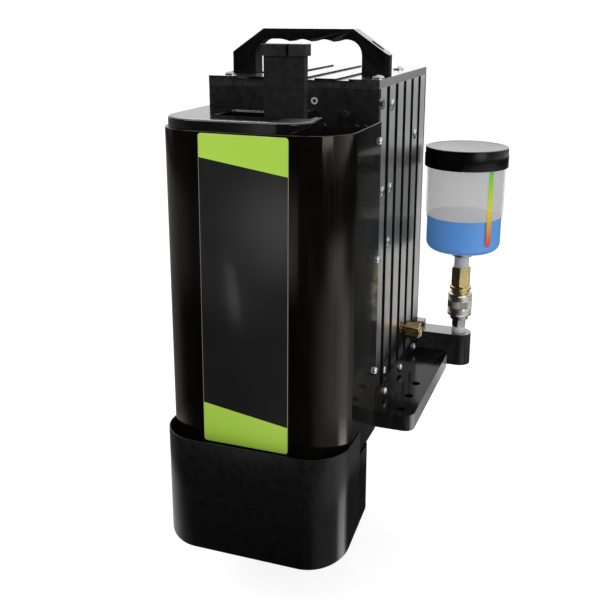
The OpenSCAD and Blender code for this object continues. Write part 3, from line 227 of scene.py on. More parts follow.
def makeLamp(name, spot, power, size):
    # turned so that it faces the aim
    lamp = bpy.data.lights.new(name, "AREA")
    lamp.energy = power
    lamp.size = size
    lampObject = addObject(name, lamp)
    lampObject.location = spot
    away = np.array(spot) - np.array(studio["aim"])
    lampObject.rotation_euler = (math.atan2(math.hypot(away[0], away[1]), away[2]), 0, math.atan2(away[0], -away[1]))


def makeFloor():
    mesh = bpy.data.meshes.new("paleFloor")
    half = studio["floorHalf"]
    z = studio["floorHeight"]
    mesh.from_pydata([(-half, -half, z), (half, -half, z), (half, half, z), (-half, half, z)], [], [(0, 1, 2, 3)])
    floor = addObject("paleFloor", mesh)
    surface = bpy.data.materials.new("paleFloor")
    tree = nodeTree(surface)
    spot = ownPlace(tree)
    across = axesOf(tree, spot)
    glossy = rayKind(tree, "Glossy")
    # polished faces see broad soft strips round the station: strength by the bearing atan2(y - middle, x - centre),
    # in rings that fade into one another with the distance from the foot
    ahead = reckon(tree, "ADD", across["Y"], -studio["ringMiddle"])
    reach = distanceTo(tree, spot, (0.0, studio["ringMiddle"], 0.0))

    def ring(kind, centre):
        bearing = reckon(tree, "ARCTAN2", ahead, reckon(tree, "SUBTRACT", across["X"], centre))
        ramp = place(tree, "ShaderNodeValToRGB", {0: between(tree, bearing, -math.pi, math.pi)})
        return setRamp(ramp, [((degrees + 180) / 360, tone) for degrees, tone in studio[kind]])

    tone = ring("footRing", studio["footCentre"])
    for kind, start, end in studio["rings"]:
        tone = fade(tree, between(tree, reach, start, end), tone, ring(kind, 0.0))
    tone = reckon(tree, "MULTIPLY", tone, between(tree, reach, *studio["farDim"]))
    shine = reckon(tree, "MULTIPLY", tone, studio["stripGain"])
    glow = fade(tree, glossy, studio["floorGlow"], shine)
    straight = reckon(tree, "MAXIMUM", rayKind(tree, "Camera"), glossy)
    light = place(tree, "ShaderNodeEmission", {0: (1, 1, 1, 1), 1: reckon(tree, "MULTIPLY", glow, straight)})
    matt = place(tree, "ShaderNodeBsdfDiffuse", {0: mixColours(tree, glossy, studio["floorTone"], (0, 0, 0))})
    total = place(tree, "ShaderNodeAddShader", {0: light.outputs[0], 1: matt.outputs[0]})
    place(tree, "ShaderNodeOutputMaterial", {0: total.outputs[0]})
    mesh.materials.append(surface)


makeSurroundings()
makeFloor()
for lampName, (lampPlace, lampPower, lampSize) in studio["lamps"].items():
    makeLamp(lampName, lampPlace, lampPower, lampSize)
print("camera, floor and lamps set")


def newGroup(name, inputs, outputs):
    # an empty node group with value sockets, and its two ends
    tree = bpy.data.node_groups.new(name, "ShaderNodeTree")
    for label, value in inputs.items():
        socket = tree.interface.new_socket(label, in_out="INPUT", socket_type="NodeSocketFloat")
        socket.default_value = value
    for label in outputs:
        tree.interface.new_socket(label, in_out="OUTPUT", socket_type="NodeSocketFloat")
    start = tree.nodes.new("NodeGroupInput")
    end = tree.nodes.new("NodeGroupOutput")
    return tree, start.outputs, end.inputs


def makeGrain():
    # fine, even grain of powder coat or moulded plastic: noise * distance to the nearest lump
    tree, start, end = newGroup("fineGrain", {"Size": 900.0}, ["Tone", "Height"])
    spot = ownPlace(tree)
    fine = cloud(tree, spot, start["Size"], 3.0)
    lumps = place(tree, "ShaderNodeTexVoronoi", {"Vector": spot, "Scale": start["Size"]}).outputs["Distance"]
    tree.links.new(fine, end["Tone"])
    tree.links.new(reckon(tree, "MULTIPLY", fine, lumps), end["Height"])
    return tree


def makeSmudge():
    # broad, uneven patches left by handling, and thin hairline rubs
    tree, start, end = newGroup("handlingAndSheen", {"Low": 0.05, "High": 0.2, "Size": 14.0}, ["Roughness", "Dust"])
    spot = ownPlace(tree)
    patch = cloud(tree, spot, start["Size"], 5.0, Roughness=0.6)
    squeezed = place(tree, "ShaderNodeMapping", {"Vector": spot, "Scale": (1.0, 1.0, 0.04)}).outputs[0]
    both = reckon(tree, "MULTIPLY", patch, cloud(tree, squeezed, 420.0, 2.0))
    tree.links.new(between(tree, both, 0.12, 0.42, start["Low"], start["High"]), end["Roughness"])
    tree.links.new(between(tree, patch, 0.5, 0.75), end["Dust"])
    return tree


def makeEdgeRub():
    # bright where an edge has been rubbed: pointiness broken up by noise
    tree, start, end = newGroup("edgeRub", {"Amount": 0.5}, ["Mask"])
    edge = between(tree, place(tree, "ShaderNodeNewGeometry").outputs["Pointiness"], 0.52, 0.6)
    broken = reckon(tree, "MULTIPLY", edge, cloud(tree, ownPlace(tree), 160.0, 4.0))
    tree.links.new(reckon(tree, "MULTIPLY", broken, start["Amount"], clamp=True), end["Mask"])
    return tree


def makeToolMarks():
    # rings left by turning, along one direction: noise of the sum of coordinate * weight
    tree, start, end = newGroup("toolMarks", {"Along X": 0.0, "Along Y": 0.0, "Along Z": 1.0, "Size": 2600.0},
                                ["Height", "Tone"])
    spot = ownPlace(tree)
    across = axesOf(tree, spot)
    total = 0.0
    for axis in "XYZ":
        total = reckon(tree, "MULTIPLY_ADD", across[axis], start["Along " + axis], total)
    rings = place(tree, "ShaderNodeTexNoise", {"W": total, "Scale": start["Size"], "Detail": 2.0},
                  noise_dimensions="1D")
    tree.links.new(rings.outputs[0], end["Height"])
    tree.links.new(cloud(tree, spot, 60.0, 3.0), end["Tone"])
    return tree


grainGroup = makeGrain()
smudgeGroup = makeSmudge()
edgeGroup = makeEdgeRub()
toolGroup = makeToolMarks()


def groupIn(tree, group, **values):
    # the outputs of a shared group with its values set
    made = tree.nodes.new("ShaderNodeGroup")
    made.node_tree = group
    for key, value in values.items():
        made.inputs[key.replace("_", " ")].default_value = value
    return made.outputs


def newSurface(name, **values):
    # a Principled surface with its plain values set on its own sockets
    surface = bpy.data.materials.new(name)
    tree = nodeTree(surface)
    shader = tree.nodes.new("ShaderNodeBsdfPrincipled")
    for key, value in values.items():
        shader.inputs[key.replace("_", " ")].default_value = value
    place(tree, "ShaderNodeOutputMaterial", {0: shader.outputs[0]})
    return surface, tree, shader


def bumpInto(tree, shader, height, strength, distance):
    # small relief, as a tilt of the surface's normal
    bump = place(tree, "ShaderNodeBump", {"Height": height, "Strength": strength, "Distance": distance})
    tree.links.new(bump.outputs[0], shader.inputs["Normal"])


# real wear, and painted sheen and highlights, as colours and masks
wearAndSheen = {
    "dust": (0.2, 0.19, 0.18),
    "dustAmount": 0.008,
    "edge": (0.12, 0.12, 0.12),
    "textureEdge": (0.1, 0.1, 0.105),
    # painted sheen on the faces at a node's outer side
    "sideSheen": (0.33, 0.33, 0.33),
    "sideSheenReach": (15 * mm, 13 * mm),  # how far inside the node's outer side the painted sheen on the side faces fades in
    # painted highlight on a top, and how far it fades in along y
    "topHighlight": (0.2, 0.2, 0.2),
    "topHighlightFade": 1.5 * mm,
    "ribFace": (0.6 * mm, 0.2 * mm),  # how far inside the plate's outer side the ribs' faces fade in
    "ribFoot": (52 * mm, 78 * mm),    # the heights between which they do
    # darker tones for some fittings: past an x, and darkest within a y
    "darkTones": ((0.03, 0.03, 0.032), (0.01, 0.01, 0.011)),
    "darkFade": (0.5 * mm, 0.3 * mm),
}


def upMask(tree):
    # 1 on faces that point up, 0 on upright ones
    normal = place(tree, "ShaderNodeNewGeometry").outputs["Normal"]
    return between(tree, axesOf(tree, normal)["Z"], 0.45, 0.9)


def beyond(tree, axis, low, high, bothSides=True):
    # 0 where the coordinate, or its size, is under the first value, 1 over the second
    value = axesOf(tree, ownPlace(tree))[axis]
    return between(tree, reckon(tree, "ABSOLUTE", value) if bothSides else value, low, high)


def sideSheenMask(tree, node):
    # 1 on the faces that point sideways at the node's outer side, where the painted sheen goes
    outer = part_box(node)[1][0]
    start, end = wearAndSheen["sideSheenReach"]
    normal = place(tree, "ShaderNodeNewGeometry").outputs["Normal"]
    aside = between(tree, reckon(tree, "ABSOLUTE", axesOf(tree, normal)["X"]), 0.6, 0.9)
    return reckon(tree, "MULTIPLY", aside, beyond(tree, "X", outer - start, outer - end))


def ribMask(tree):
    # 1 on the side plates' outer faces, 0 down in their grooves and near the foot
    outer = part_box("side_plate_right")[1][0]
    start, end = wearAndSheen["ribFace"]
    return reckon(tree, "MULTIPLY", beyond(tree, "X", outer - start, outer - end),
                  beyond(tree, "Z", *wearAndSheen["ribFoot"]))


def dullInShine(tree, colour, dull):
    # the colour as seen directly, and a duller one as other pieces mirror it
    return mixColours(tree, rayKind(tree, "Glossy"), colour, dull)


def addGraze(tree, shader, amount, power, rough, mask=upMask):
    # more mirror at grazing angles: factor = amount * facing ^ power * mask, where seen directly
    facing = place(tree, "ShaderNodeLayerWeight", {"Blend": 0.5}).outputs["Facing"]
    factor = reckon(tree, "MULTIPLY", reckon(tree, "POWER", facing, power), amount, clamp=True)
    factor = reckon(tree, "MULTIPLY", factor, mask(tree))
    factor = reckon(tree, "MULTIPLY", factor, reckon(tree, "SUBTRACT", 1.0, rayKind(tree, "Glossy")))
    mirror = place(tree, "ShaderNodeBsdfGlossy", {"Color": (1, 1, 1, 1), "Roughness": rough})
    blend = place(tree, "ShaderNodeMixShader", {0: factor, 1: shader.outputs[0], 2: mirror.outputs[0]})
    end = next(node for node in tree.nodes if node.type == "OUTPUT_MATERIAL")
    tree.links.new(blend.outputs[0], end.inputs[0])


def polishedBlack(name, tint, low, high, level, coat, graze=0.0, power=4.0, sheen=(1, 1, 1, 1), mask=upMask,
                  spread=None, sheenSide=None, topHighlight=None):
    # polished black anodising or paint, with handling marks and rubbed edges; a named node's outer side faces get a
    # painted sheen, and the top gets a painted highlight past the given x and y
    surface, tree, shader = newSurface(name, Specular_IOR_Level=level, Coat_Weight=coat, Coat_IOR=1.5,
                                       Coat_Roughness=0.04, Specular_Tint=sheen)
    if graze:
        addGraze(tree, shader, graze, power, spread or (low + high) / 2, mask)
    marks = groupIn(tree, smudgeGroup, Low=low, High=high, Size=16.0)
    rub = groupIn(tree, edgeGroup, Amount=0.5)
    tree.links.new(marks["Roughness"], shader.inputs["Roughness"])
    base = mixColours(tree, reckon(tree, "MULTIPLY", marks["Dust"], wearAndSheen["dustAmount"]), tint, wearAndSheen["dust"])
    base = mixColours(tree, rub["Mask"], base, wearAndSheen["edge"])
    # painted sheen: the side faces at the named node's outer side are painted pale grey
    if sheenSide:
        base = mixColours(tree, sideSheenMask(tree, sheenSide), base, wearAndSheen["sideSheen"])
    # painted highlight: the top is painted pale past the given x and y
    if topHighlight:
        aside = beyond(tree, "X", topHighlight[0], topHighlight[1], False)
        ahead = beyond(tree, "Y", topHighlight[2], topHighlight[2] + wearAndSheen["topHighlightFade"])
        highlit = reckon(tree, "MULTIPLY", reckon(tree, "MAXIMUM", aside, ahead), upMask(tree))
        base = mixColours(tree, highlit, base, wearAndSheen["topHighlight"])
    tree.links.new(base, shader.inputs["Base Color"])
    return surface


def texturedBlack(name, tint, fleck, size, rough, depth, level, graze=0.0):
    # fine-textured powder coat or moulded grip: grain in height and tone
    surface, tree, shader = newSurface(name, Roughness=rough, Specular_IOR_Level=level)
    if graze:
        addGraze(tree, shader, graze, 2.0, rough)
    grain = groupIn(tree, grainGroup, Size=size)
    rub = groupIn(tree, edgeGroup, Amount=0.6)
    base = mixColours(tree, between(tree, grain["Tone"], 0.44, 0.66), tint, fleck)
    base = mixColours(tree, rub["Mask"], base, wearAndSheen["textureEdge"])
    tree.links.new(base, shader.inputs["Base Color"])
    bumpInto(tree, shader, grain["Height"], 0.5, depth)
    return surface


def machinedMetal(name, tint, dark, rough, along=(0, 0, 1), size=2600.0, metallic=1.0, darkPast=None):
    # bare turned or ground metal: fine rings in height, cloudy tone; darker past an x, and darkest within a y, if asked
    surface, tree, shader = newSurface(name, Metallic=metallic, IOR=1.5)
    rings = groupIn(tree, toolGroup, Along_X=along[0], Along_Y=along[1], Along_Z=along[2], Size=size)
    base = mixColours(tree, between(tree, rings["Tone"], 0.35, 0.7), tint, dark)
    if darkPast:
        (x, y), (xFade, yFade) = darkPast, wearAndSheen["darkFade"]
        base = mixColours(tree, beyond(tree, "X", x, x + xFade), base, wearAndSheen["darkTones"][0])
        base = mixColours(tree, beyond(tree, "Y", y, y + yFade), wearAndSheen["darkTones"][1], base)
    tree.links.new(base, shader.inputs["Base Color"])
    tree.links.new(between(tree, rings["Tone"], 0.3, 0.7, rough * 0.7, rough * 1.4), shader.inputs["Roughness"])
    bumpInto(tree, shader, rings["Height"], 0.12, 0.0001)
    return surface


def plainPlastic(name, tint, rough, fleck=None, size=700.0, graze=0.0, level=0.5):
    # moulded plastic: grain between two tones, handling marks in its roughness
    surface, tree, shader = newSurface(name, IOR=1.5, Specular_IOR_Level=level)
    if graze:
        addGraze(tree, shader, graze, 2.6, rough)
    grain = groupIn(tree, grainGroup, Size=size)
    marks = groupIn(tree, smudgeGroup, Low=rough * 0.8, High=rough * 1.3, Size=30.0)
    second = fleck or tuple(0.85 * c for c in tint)
    tree.links.new(mixColours(tree, grain["Tone"], tint, second), shader.inputs["Base Color"])
    tree.links.new(marks["Roughness"], shader.inputs["Roughness"])
    bumpInto(tree, shader, grain["Height"], 0.1, 0.0001)
    return surface


finish = {
    "shell": polishedBlack("shellGloss", (0.0016, 0.0013, 0.001), 0.07, 0.16, level=0.5, coat=0.0,
                           sheen=(1, 0.88, 0.74, 1)),
    "plate": polishedBlack("plateGloss", (0.0015, 0.0015, 0.0017), 0.14, 0.3, level=0.25, coat=0.1),
    "side": polishedBlack("sideSatin", (0.003, 0.003, 0.003), 0.2, 0.34, level=0.3, coat=0.1, graze=1.35, power=1.4,
                          mask=ribMask, spread=0.34),
    # the lid's and flange's outer side faces get a painted sheen
    "lid": polishedBlack("lidGloss", (0.001, 0.001, 0.0012), 0.12, 0.25, level=0.08, coat=0.0, graze=1.3, power=2.6,
                         sheenSide="lid"),
    # the deck's top gets a painted highlight near its right corner and its front
    "deck": polishedBlack("deckGloss", (0.002, 0.002, 0.0023), 0.08, 0.2, level=0.45, coat=0.2,
                          topHighlight=(20 * mm, 44 * mm, -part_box("deck")[0][1] - 7 * mm)),
    "flange": polishedBlack("flangeGloss", (0.0025, 0.0025, 0.003), 0.08, 0.2, level=0.15, coat=0.08,
                            sheenSide="flange_right"),
    "bin": texturedBlack("binCoat", (0.0003, 0.0003, 0.0003), (0.0016, 0.0017, 0.0018), 700.0, 0.2, 0.00005, 0.36),
    "tower": texturedBlack("towerCoat", (0.0008, 0.0009, 0.001), (0.006, 0.0064, 0.0068), 800.0, 0.5, 0.00012, 0.15),
    "grip": texturedBlack("gripPlastic", (0.0006, 0.0007, 0.0008), (0.0042, 0.0045, 0.0048), 800.0, 0.42, 0.0001, 0.08,
                          graze=1.1),
    "arm": polishedBlack("armGloss", (0.0015, 0.0015, 0.0018), 0.15, 0.3, level=0.15, coat=0.1, graze=0.8, power=2.0),
    "inner": polishedBlack("innerBlack", (0.004, 0.004, 0.0045), 0.3, 0.5, level=0.2, coat=0.0),
    "zinc": machinedMetal("zincScrew", (0.8, 0.81, 0.83), (0.55, 0.57, 0.6), 0.22),
    "steel": machinedMetal("plainSteel", (0.5, 0.51, 0.53), (0.3, 0.31, 0.32), 0.3),
    "rod": machinedMetal("chromedRod", (0.85, 0.86, 0.88), (0.7, 0.71, 0.73), 0.08, size=900.0),
    "aluminium": machinedMetal("bareAluminium", (0.55, 0.56, 0.58), (0.4, 0.41, 0.43), 0.35, along=(1, 0, 0)),
    "nickel": machinedMetal("dullNickel", (0.78, 0.75, 0.68), (0.58, 0.55, 0.49), 0.28),
    "plug": machinedMetal("zincPlug", (0.5, 0.52, 0.54), (0.3, 0.32, 0.34), 0.2),
    "brass": machinedMetal("machinedBrass", (0.84, 0.7, 0.36), (0.68, 0.54, 0.25), 0.24),
    "inletBrass": machinedMetal("inletBrass", (0.72, 0.56, 0.33), (0.5, 0.37, 0.2), 0.22, along=(1, 0, 0)),
    "bronze": machinedMetal("bronzeBush", (0.5, 0.34, 0.16), (0.36, 0.24, 0.11), 0.35),
    "coated": machinedMetal("coatedCutter", (0.75, 0.56, 0.22), (0.55, 0.4, 0.15), 0.25),
    "ptfe": plainPlastic("whiteTape", (0.82, 0.82, 0.8), 0.45, (0.7, 0.7, 0.69), 500.0),
    "cap": plainPlastic("capPlastic", (0.0018, 0.0018, 0.002), 0.28, (0.003, 0.003, 0.0033), 900.0, graze=0.48,
                        level=0.25),
    # the fittings past an x, and within a y, are darker
    "fitting": machinedMetal("paleFitting", (0.72, 0.73, 0.75), (0.55, 0.56, 0.58), 0.3, along=(0, 1, 0), metallic=0.4,
                             darkPast=(27 * mm, -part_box("front_plate")[0][1] + 0.8 * mm)),
    "case": plainPlastic("valveCase", (0.02, 0.02, 0.022), 0.4),
    "hose": plainPlastic("blueTube", (0.03, 0.1, 0.36), 0.3),
}
print("finishes made")


def gridFaces(rows, columns, closeColumns=False):
    # the face (i, j) joins grid points (i, j), (i, j + 1), (i + 1, j + 1) and (i + 1, j)
    i, j = np.meshgrid(np.arange(rows - 1), np.arange(columns if closeColumns else columns - 1), indexing="ij")
    iNext, jNext = i + 1, (j + 1) % columns
    return np.stack([i * columns + j, i * columns + jNext, iNext * columns + jNext, iNext * columns + j],
                    axis=-1).reshape(-1, 4)


def cappedGrid(rows, columns):
    # the grid closed round its columns, with its first and last rows filled
    ends = [list(range(columns)), list(range((rows - 1) * columns, rows * columns))]
    return gridFaces(rows, columns, closeColumns=True).tolist() + ends


def smoothBut(mesh, sharp):
    # smooth shading, except over edges sharper than the given degrees
    mesh.polygons.foreach_set("use_smooth", np.ones(len(mesh.polygons), dtype=bool))
    mesh.set_sharp_from_angle(angle=math.radians(sharp))


def makePiece(name, points, faces, surface, body, replaced=(), sharp=40.0):
    # welds the seams and poles, turns the faces outwards and smooths all but sharp edges
    mesh = bpy.data.meshes.new(name)
    mesh.from_pydata(np.asarray(points).reshape(-1, 3).tolist(), [], [list(map(int, f)) for f in faces])
    work = bmesh.new()
    work.from_mesh(mesh)
    bmesh.ops.remove_doubles(work, verts=work.verts, dist=1e-6)
    bmesh.ops.dissolve_degenerate(work, edges=work.edges, dist=1e-7)
    bmesh.ops.recalc_face_normals(work, faces=work.faces)
    work.to_mesh(mesh)
    work.free()
    smoothBut(mesh, sharp)
    mesh.materials.append(surface)
    piece = addObject(name, mesh)
    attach(piece, body)
    if replaced:
        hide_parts(*replaced)
    return piece


def bodyOf(node):
    # the body that carries the node
    return next(b for b, names in frame["record"]["behaviour"]["bodies"].items() if node in names)


def easeNode(node, surface, width, segments, angle=32.0):
    # a welded copy of the node's solid with its edges rounded to the given width
    mesh = bpy.data.meshes.new(node + "Eased")
    work = bmesh.new()
    work.from_mesh(nodes[node].data)
    for layer in list(work.loops.layers.float_vector.values()):
        work.loops.layers.float_vector.remove(layer)
    bmesh.ops.remove_doubles(work, verts=work.verts, dist=2e-6)
    bmesh.ops.dissolve_limit(work, angle_limit=math.radians(0.6), verts=work.verts, edges=work.edges)
    work.to_mesh(mesh)
    work.free()
    if "custom_normal" in mesh.attributes:
        mesh.attributes.remove(mesh.attributes["custom_normal"])
    smoothBut(mesh, angle)
    mesh.materials.clear()
    mesh.materials.append(surface)
    piece = addObject(node + "Eased", mesh)
    bevel = piece.modifiers.new("easedEdges", "BEVEL")
    bevel.width = width
    bevel.segments = segments
    bevel.limit_method = "ANGLE"
    bevel.angle_limit = math.radians(angle)
    bevel.harden_normals = True
    bevel.miter_outer = "MITER_ARC"
    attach(piece, bodyOf(node))
    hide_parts(node)


def turnedPoints(profile, centre, count, along="z", sides=0.0):
    # r(t) and h(t) from the profile, carried round: centre + h along the axis + r (cos a, sin a);
    # with sides, r is the smaller of r(t) and a hexagon of that width across its flats
    profile = np.asarray(profile, float) * mm
    angle = np.linspace(0, 2 * np.pi, count, endpoint=False)
    radius = np.repeat(profile[:, :1], count, axis=1)
    if sides:
        turn = (angle + np.pi / 6) % (np.pi / 3) - np.pi / 6
        radius = np.minimum(radius, sides * mm / 2 / np.cos(turn)[None, :])
    across = radius * np.cos(angle)
    other = radius * np.sin(angle)
    height = np.repeat(profile[:, 1:2], count, axis=1)
    order = {"z": (across, other, height), "x": (height, across, other)}[along]
    return np.stack(order, axis=-1) + np.asarray(centre)


def turnPiece(name, profile, centre, surface, body, replaced, count, along="z", sides=0.0, sharp=38.0):
    # the turned profile as one piece
    points = turnedPoints(profile, centre, count, along, sides)
    return makePiece(name, points, gridFaces(len(profile), count, closeColumns=True), surface, body, replaced, sharp)


def roundedPath(half, front, back, frontRadius, steps, backRadius=None):
    # plan outline from the right rear, round the front, to the left rear, and back again if backRadius is given;
    # gives points and outward normals, arcs as centre + r (cos a, sin a)
    def arc(cx, cy, r, a0, a1):
        a = np.radians(np.linspace(a0, a1, steps + 1))
        n = np.stack([np.cos(a), np.sin(a)], axis=1)
        return np.array([cx, cy]) + r * n, n

    parts = [arc(half - frontRadius, front + frontRadius, frontRadius, 0, -90),
             arc(frontRadius - half, front + frontRadius, frontRadius, -90, -180)]
    if backRadius is None:
        parts = [([[half, back]], [[1.0, 0.0]]), *parts, ([[-half, back]], [[-1.0, 0.0]])]
    else:
        parts += [arc(backRadius - half, back - backRadius, backRadius, 180, 90),
                  arc(half - backRadius, back - backRadius, backRadius, 90, 0)]
    return [np.concatenate(each) for each in zip(*parts)]


def easedLoop(inner, outer, low, high, ease, steps=4):
    # cross-section of a wall as (inset, height): a rectangle with rounded corners
    corners = [(inner, low, 180, 270), (outer, low, 270, 360), (outer, high, 0, 90), (inner, high, 90, 180)]
    loop = []
    for inset, height, start, end in corners:
        cx = inset + ease if inset == inner else inset - ease
        cy = height + ease if height == low else height - ease
        for a in np.radians(np.linspace(start, end, steps + 1)):
            loop.append((cx + ease * np.cos(a), cy + ease * np.sin(a)))
    return np.array(loop)


shellPart = {"corner": 38.0, "wall": 2.5, "edge": 0.6}


def makeShell():
    # the wall's cross-section carried along the plan outline
    low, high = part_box("front_shell")
    half, front, back = high[0] / mm, low[1] / mm, high[1] / mm
    path, normal = roundedPath(half, front, back, shellPart["corner"], 28)
    # wall: point = path - inset * normal, height from the cross-section
    loop = easedLoop(-shellPart["wall"], 0.0, low[2] / mm, high[2] / mm, shellPart["edge"])
    across = path[:, None, :] + loop[None, :, :1] * normal[:, None, :]
    height = np.repeat(loop[None, :, 1:], len(path), axis=0)
    points = np.concatenate([across, height], axis=2) * mm
    makePiece("shellSheet", points, cappedGrid(len(path), len(loop)), finish["shell"], "station", ["front_shell"])


makeShell()


labelPart = {
    "lime": (0.5, 0.8, 0.085),
    "limeSheen": (0.53, 0.83, 0.11),
    "dark": (0.012, 0.012, 0.012),
    "darkSheen": (0.02, 0.02, 0.0205),
    "handlingAndSheen": (0.036, -0.1585, 0.222),  # middle of the painted sheen, a soft pale patch on the dark field
    "sheenReach": 0.07,
    "sheenTone": (0.06, 0.06, 0.06),
    "topWedge": 267.6,     # height of the upper wedge's edge at the middle, mm
    "bottomWedge": 49.0,   # the same for the lower wedge
    "centre": (-0.9, 155.8),
    "size": (79.6, 275.0),
    "turn": 0.4,           # degrees clockwise
    "slope": -0.155,       # rise of both edges to the right
    "rim": 0.45,           # thin edge line, mm
    "rimTone": (0.3, 0.34, 0.22),
    "corner": 3.0,
    "thick": 0.45,
    "eased": (0.25, 0.15),  # how far in, and down, the film's face is eased
}


def labelSurface():
    # two lime wedges on a dark field
    surface, tree, shader = newSurface("labelPrint", Roughness=0.22, IOR=1.5, Coat_Weight=0.6, Coat_Roughness=0.08)
    spot = ownPlace(tree)
    across = axesOf(tree, spot)
    # level = z - slope * x, compared with the edge of each wedge
    level = reckon(tree, "ADD", across["Z"], reckon(tree, "MULTIPLY", across["X"], -labelPart["slope"]))
    top, bottom = labelPart["topWedge"], labelPart["bottomWedge"]
    above = between(tree, level, (top - 0.1) * mm, (top + 0.1) * mm)
    below = between(tree, level, (bottom - 0.1) * mm, (bottom + 0.1) * mm, 1.0, 0.0)
    # soft sheen across the dark field, as film over a slightly uneven sheet
    tone = between(tree, cloud(tree, spot, 9.0, 2.0), 0.4, 0.7)
    dark = mixColours(tree, tone, labelPart["dark"], labelPart["darkSheen"])
    # painted sheen: a pale patch on the dark field, fading out from its middle
    sheenPatch = between(tree, distanceTo(tree, spot, labelPart["handlingAndSheen"]), 0.0, labelPart["sheenReach"], 1.0, 0.0,
                   interpolation_type="SMOOTHSTEP")
    dark = mixColours(tree, sheenPatch, dark, labelPart["sheenTone"])
    lime = mixColours(tree, tone, labelPart["lime"], labelPart["limeSheen"])
    base = mixColours(tree, reckon(tree, "MAXIMUM", above, below), dark, lime)
    # thin pale line along both long sides: |(x - cx) cos t - (z - cz) sin t| near half the width
    turn = math.radians(labelPart["turn"])
    offset = (-labelPart["centre"][0] * math.cos(turn) + labelPart["centre"][1] * math.sin(turn)) * mm
    first = reckon(tree, "MULTIPLY_ADD", across["X"], math.cos(turn), offset)
    side = reckon(tree, "ABSOLUTE", reckon(tree, "MULTIPLY_ADD", across["Z"], -math.sin(turn), first))
    line = reckon(tree, "GREATER_THAN", side, (labelPart["size"][0] / 2 - labelPart["rim"]) * mm)
    tree.links.new(mixColours(tree, line, base, labelPart["rimTone"]), shader.inputs["Base Color"])
    bumpInto(tree, shader, groupIn(tree, grainGroup, Size=400.0)["Height"], 0.03, 0.0001)
    return surface


def makeLabel():
    # a film with rounded corners and an eased face
    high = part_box("label_plate")[1]
    x1, z1 = (0.5 * v * mm for v in labelPart["size"])
    x0, z0 = -x1, -z1
    r = labelPart["corner"] * mm
    ring = []
    for cx, cz, start in ((x1 - r, z0 + r, -90), (x1 - r, z1 - r, 0), (x0 + r, z1 - r, 90), (x0 + r, z0 + r, 180)):
        a = np.radians(np.linspace(start, start + 90, 11))
        ring.append(np.stack([cx + r * np.cos(a), cz + r * np.sin(a)], axis=1))
    ring = np.concatenate(ring)
    middle = ring.mean(axis=0)
    # film: outline (u, v) shrunk by the inset, then turned: x = cx + u cos t + v sin t, z = cz - u sin t + v cos t
    rows = []
    turn = math.radians(labelPart["turn"])
    cx, cz = (v * mm for v in labelPart["centre"])
    inward, down = labelPart["eased"]
    for inset, depth in ((0.0, 0.0), (0.0, labelPart["thick"] - down), (inward, labelPart["thick"])):
        u, v = (ring - np.sign(ring - middle) * inset * mm).T
        rows.append(np.stack([cx + u * math.cos(turn) + v * math.sin(turn), np.full(len(u), high[1] - depth * mm),
                              cz - u * math.sin(turn) + v * math.cos(turn)], axis=1))
    makePiece("labelFilm", np.stack(rows), cappedGrid(len(rows), len(ring)), labelSurface(), "station", ["label_plate"])


makeLabel()
print("shell and label made")


binPart = {
    "front": 37.0,        # corner radii, mm
    "back": 12.0,
    "wall": 1.2,
    "notchLength": 34.0,
    "notchDepth": 24.4,
    "fold": 2.0,
    "rise": 17.5,         # the floor climbs this much from front to back
}


def makeBin():
    # floor height = bottom + rise * (y - front) / depth
    low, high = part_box("debris_bin")
    half, front, back, bottom, rim = high[0] / mm, low[1] / mm, high[1] / mm, low[2] / mm, high[2] / mm
    slope = binPart["rise"] / (back - front)
    path, normal = roundedPath(half, front, back, binPart["front"], 24, binPart["back"])
    # two close points on each side carry the step where the rim is cut down
    step = back - binPart["notchLength"]
    path = np.concatenate([path, [[half, step + 0.05], [half, step - 0.05]]])
    normal = np.concatenate([normal, [[1, 0], [1, 0]]])
    cut = int(np.argmax(path[:, 0] <= -half + 1e-6))
    path = np.insert(path, cut + 1, [[-half, step - 0.05], [-half, step + 0.05]], axis=0)
    normal = np.insert(normal, cut + 1, [[-1, 0], [-1, 0]], axis=0)
    top = np.where(path[:, 1] > step, rim - binPart["notchDepth"], rim)
    w, fold = binPart["wall"], binPart["fold"]
    rows = []
    for k in range(5):  # folded lower edge: inset = f (1 - sin a), height = f (1 - cos a)
        a = math.radians(90 * k / 4)
        rows.append((fold * (1 - math.sin(a)), fold * (1 - math.cos(a)), 0))
    rows += [(0.0, -0.35, 1), (0.1, -0.12, 1), (0.35, 0.0, 1), (w - 0.35, 0.0, 1), (w - 0.1, -0.12, 1), (w, -0.35, 1),
             (w, w + 0.6, 0), (w + 0.6, w, 0)]
    points = []
    for inset, height, fromTop in rows:
        spot = path - inset * normal
        z = top + height if fromTop else bottom + slope * (spot[:, 1] - front) + height
        points.append(np.concatenate([spot, z[:, None]], axis=1))
    makePiece("binSheet", np.stack(points) * mm, cappedGrid(len(rows), len(path)), finish["bin"], "bin", ["debris_bin"])


makeBin()
print("bin made")


easedParts = {
    "side_plate_right": ("side", 0.6), "side_plate_left": ("side", 0.6), "front_plate": ("plate", 0.4),
    "back_plate": ("plate", 0.4), "lid": ("lid", 0.8), "deck": ("deck", 2.0), "flange_right": ("flange", 1.0),
    "flange_left": ("flange", 1.0), "reservoir_arm": ("arm", 1.2), "cutter_tower": ("tower", 0.5),
    "cutter_head": ("tower", 0.3), "handle": ("grip", 1.2), "v_block": ("steel", 0.4), "clamp_jaw": ("steel", 0.4),
    "spray_block": ("inner", 0.4), "head_plate": ("inner", 0.4),
}


def makeEased():
    # more segments where the rounding shows
    for node, (kind, width) in easedParts.items():
        easeNode(node, finish[kind], width * mm, 4 if node in ("handle", "deck") else 2)


makeEased()


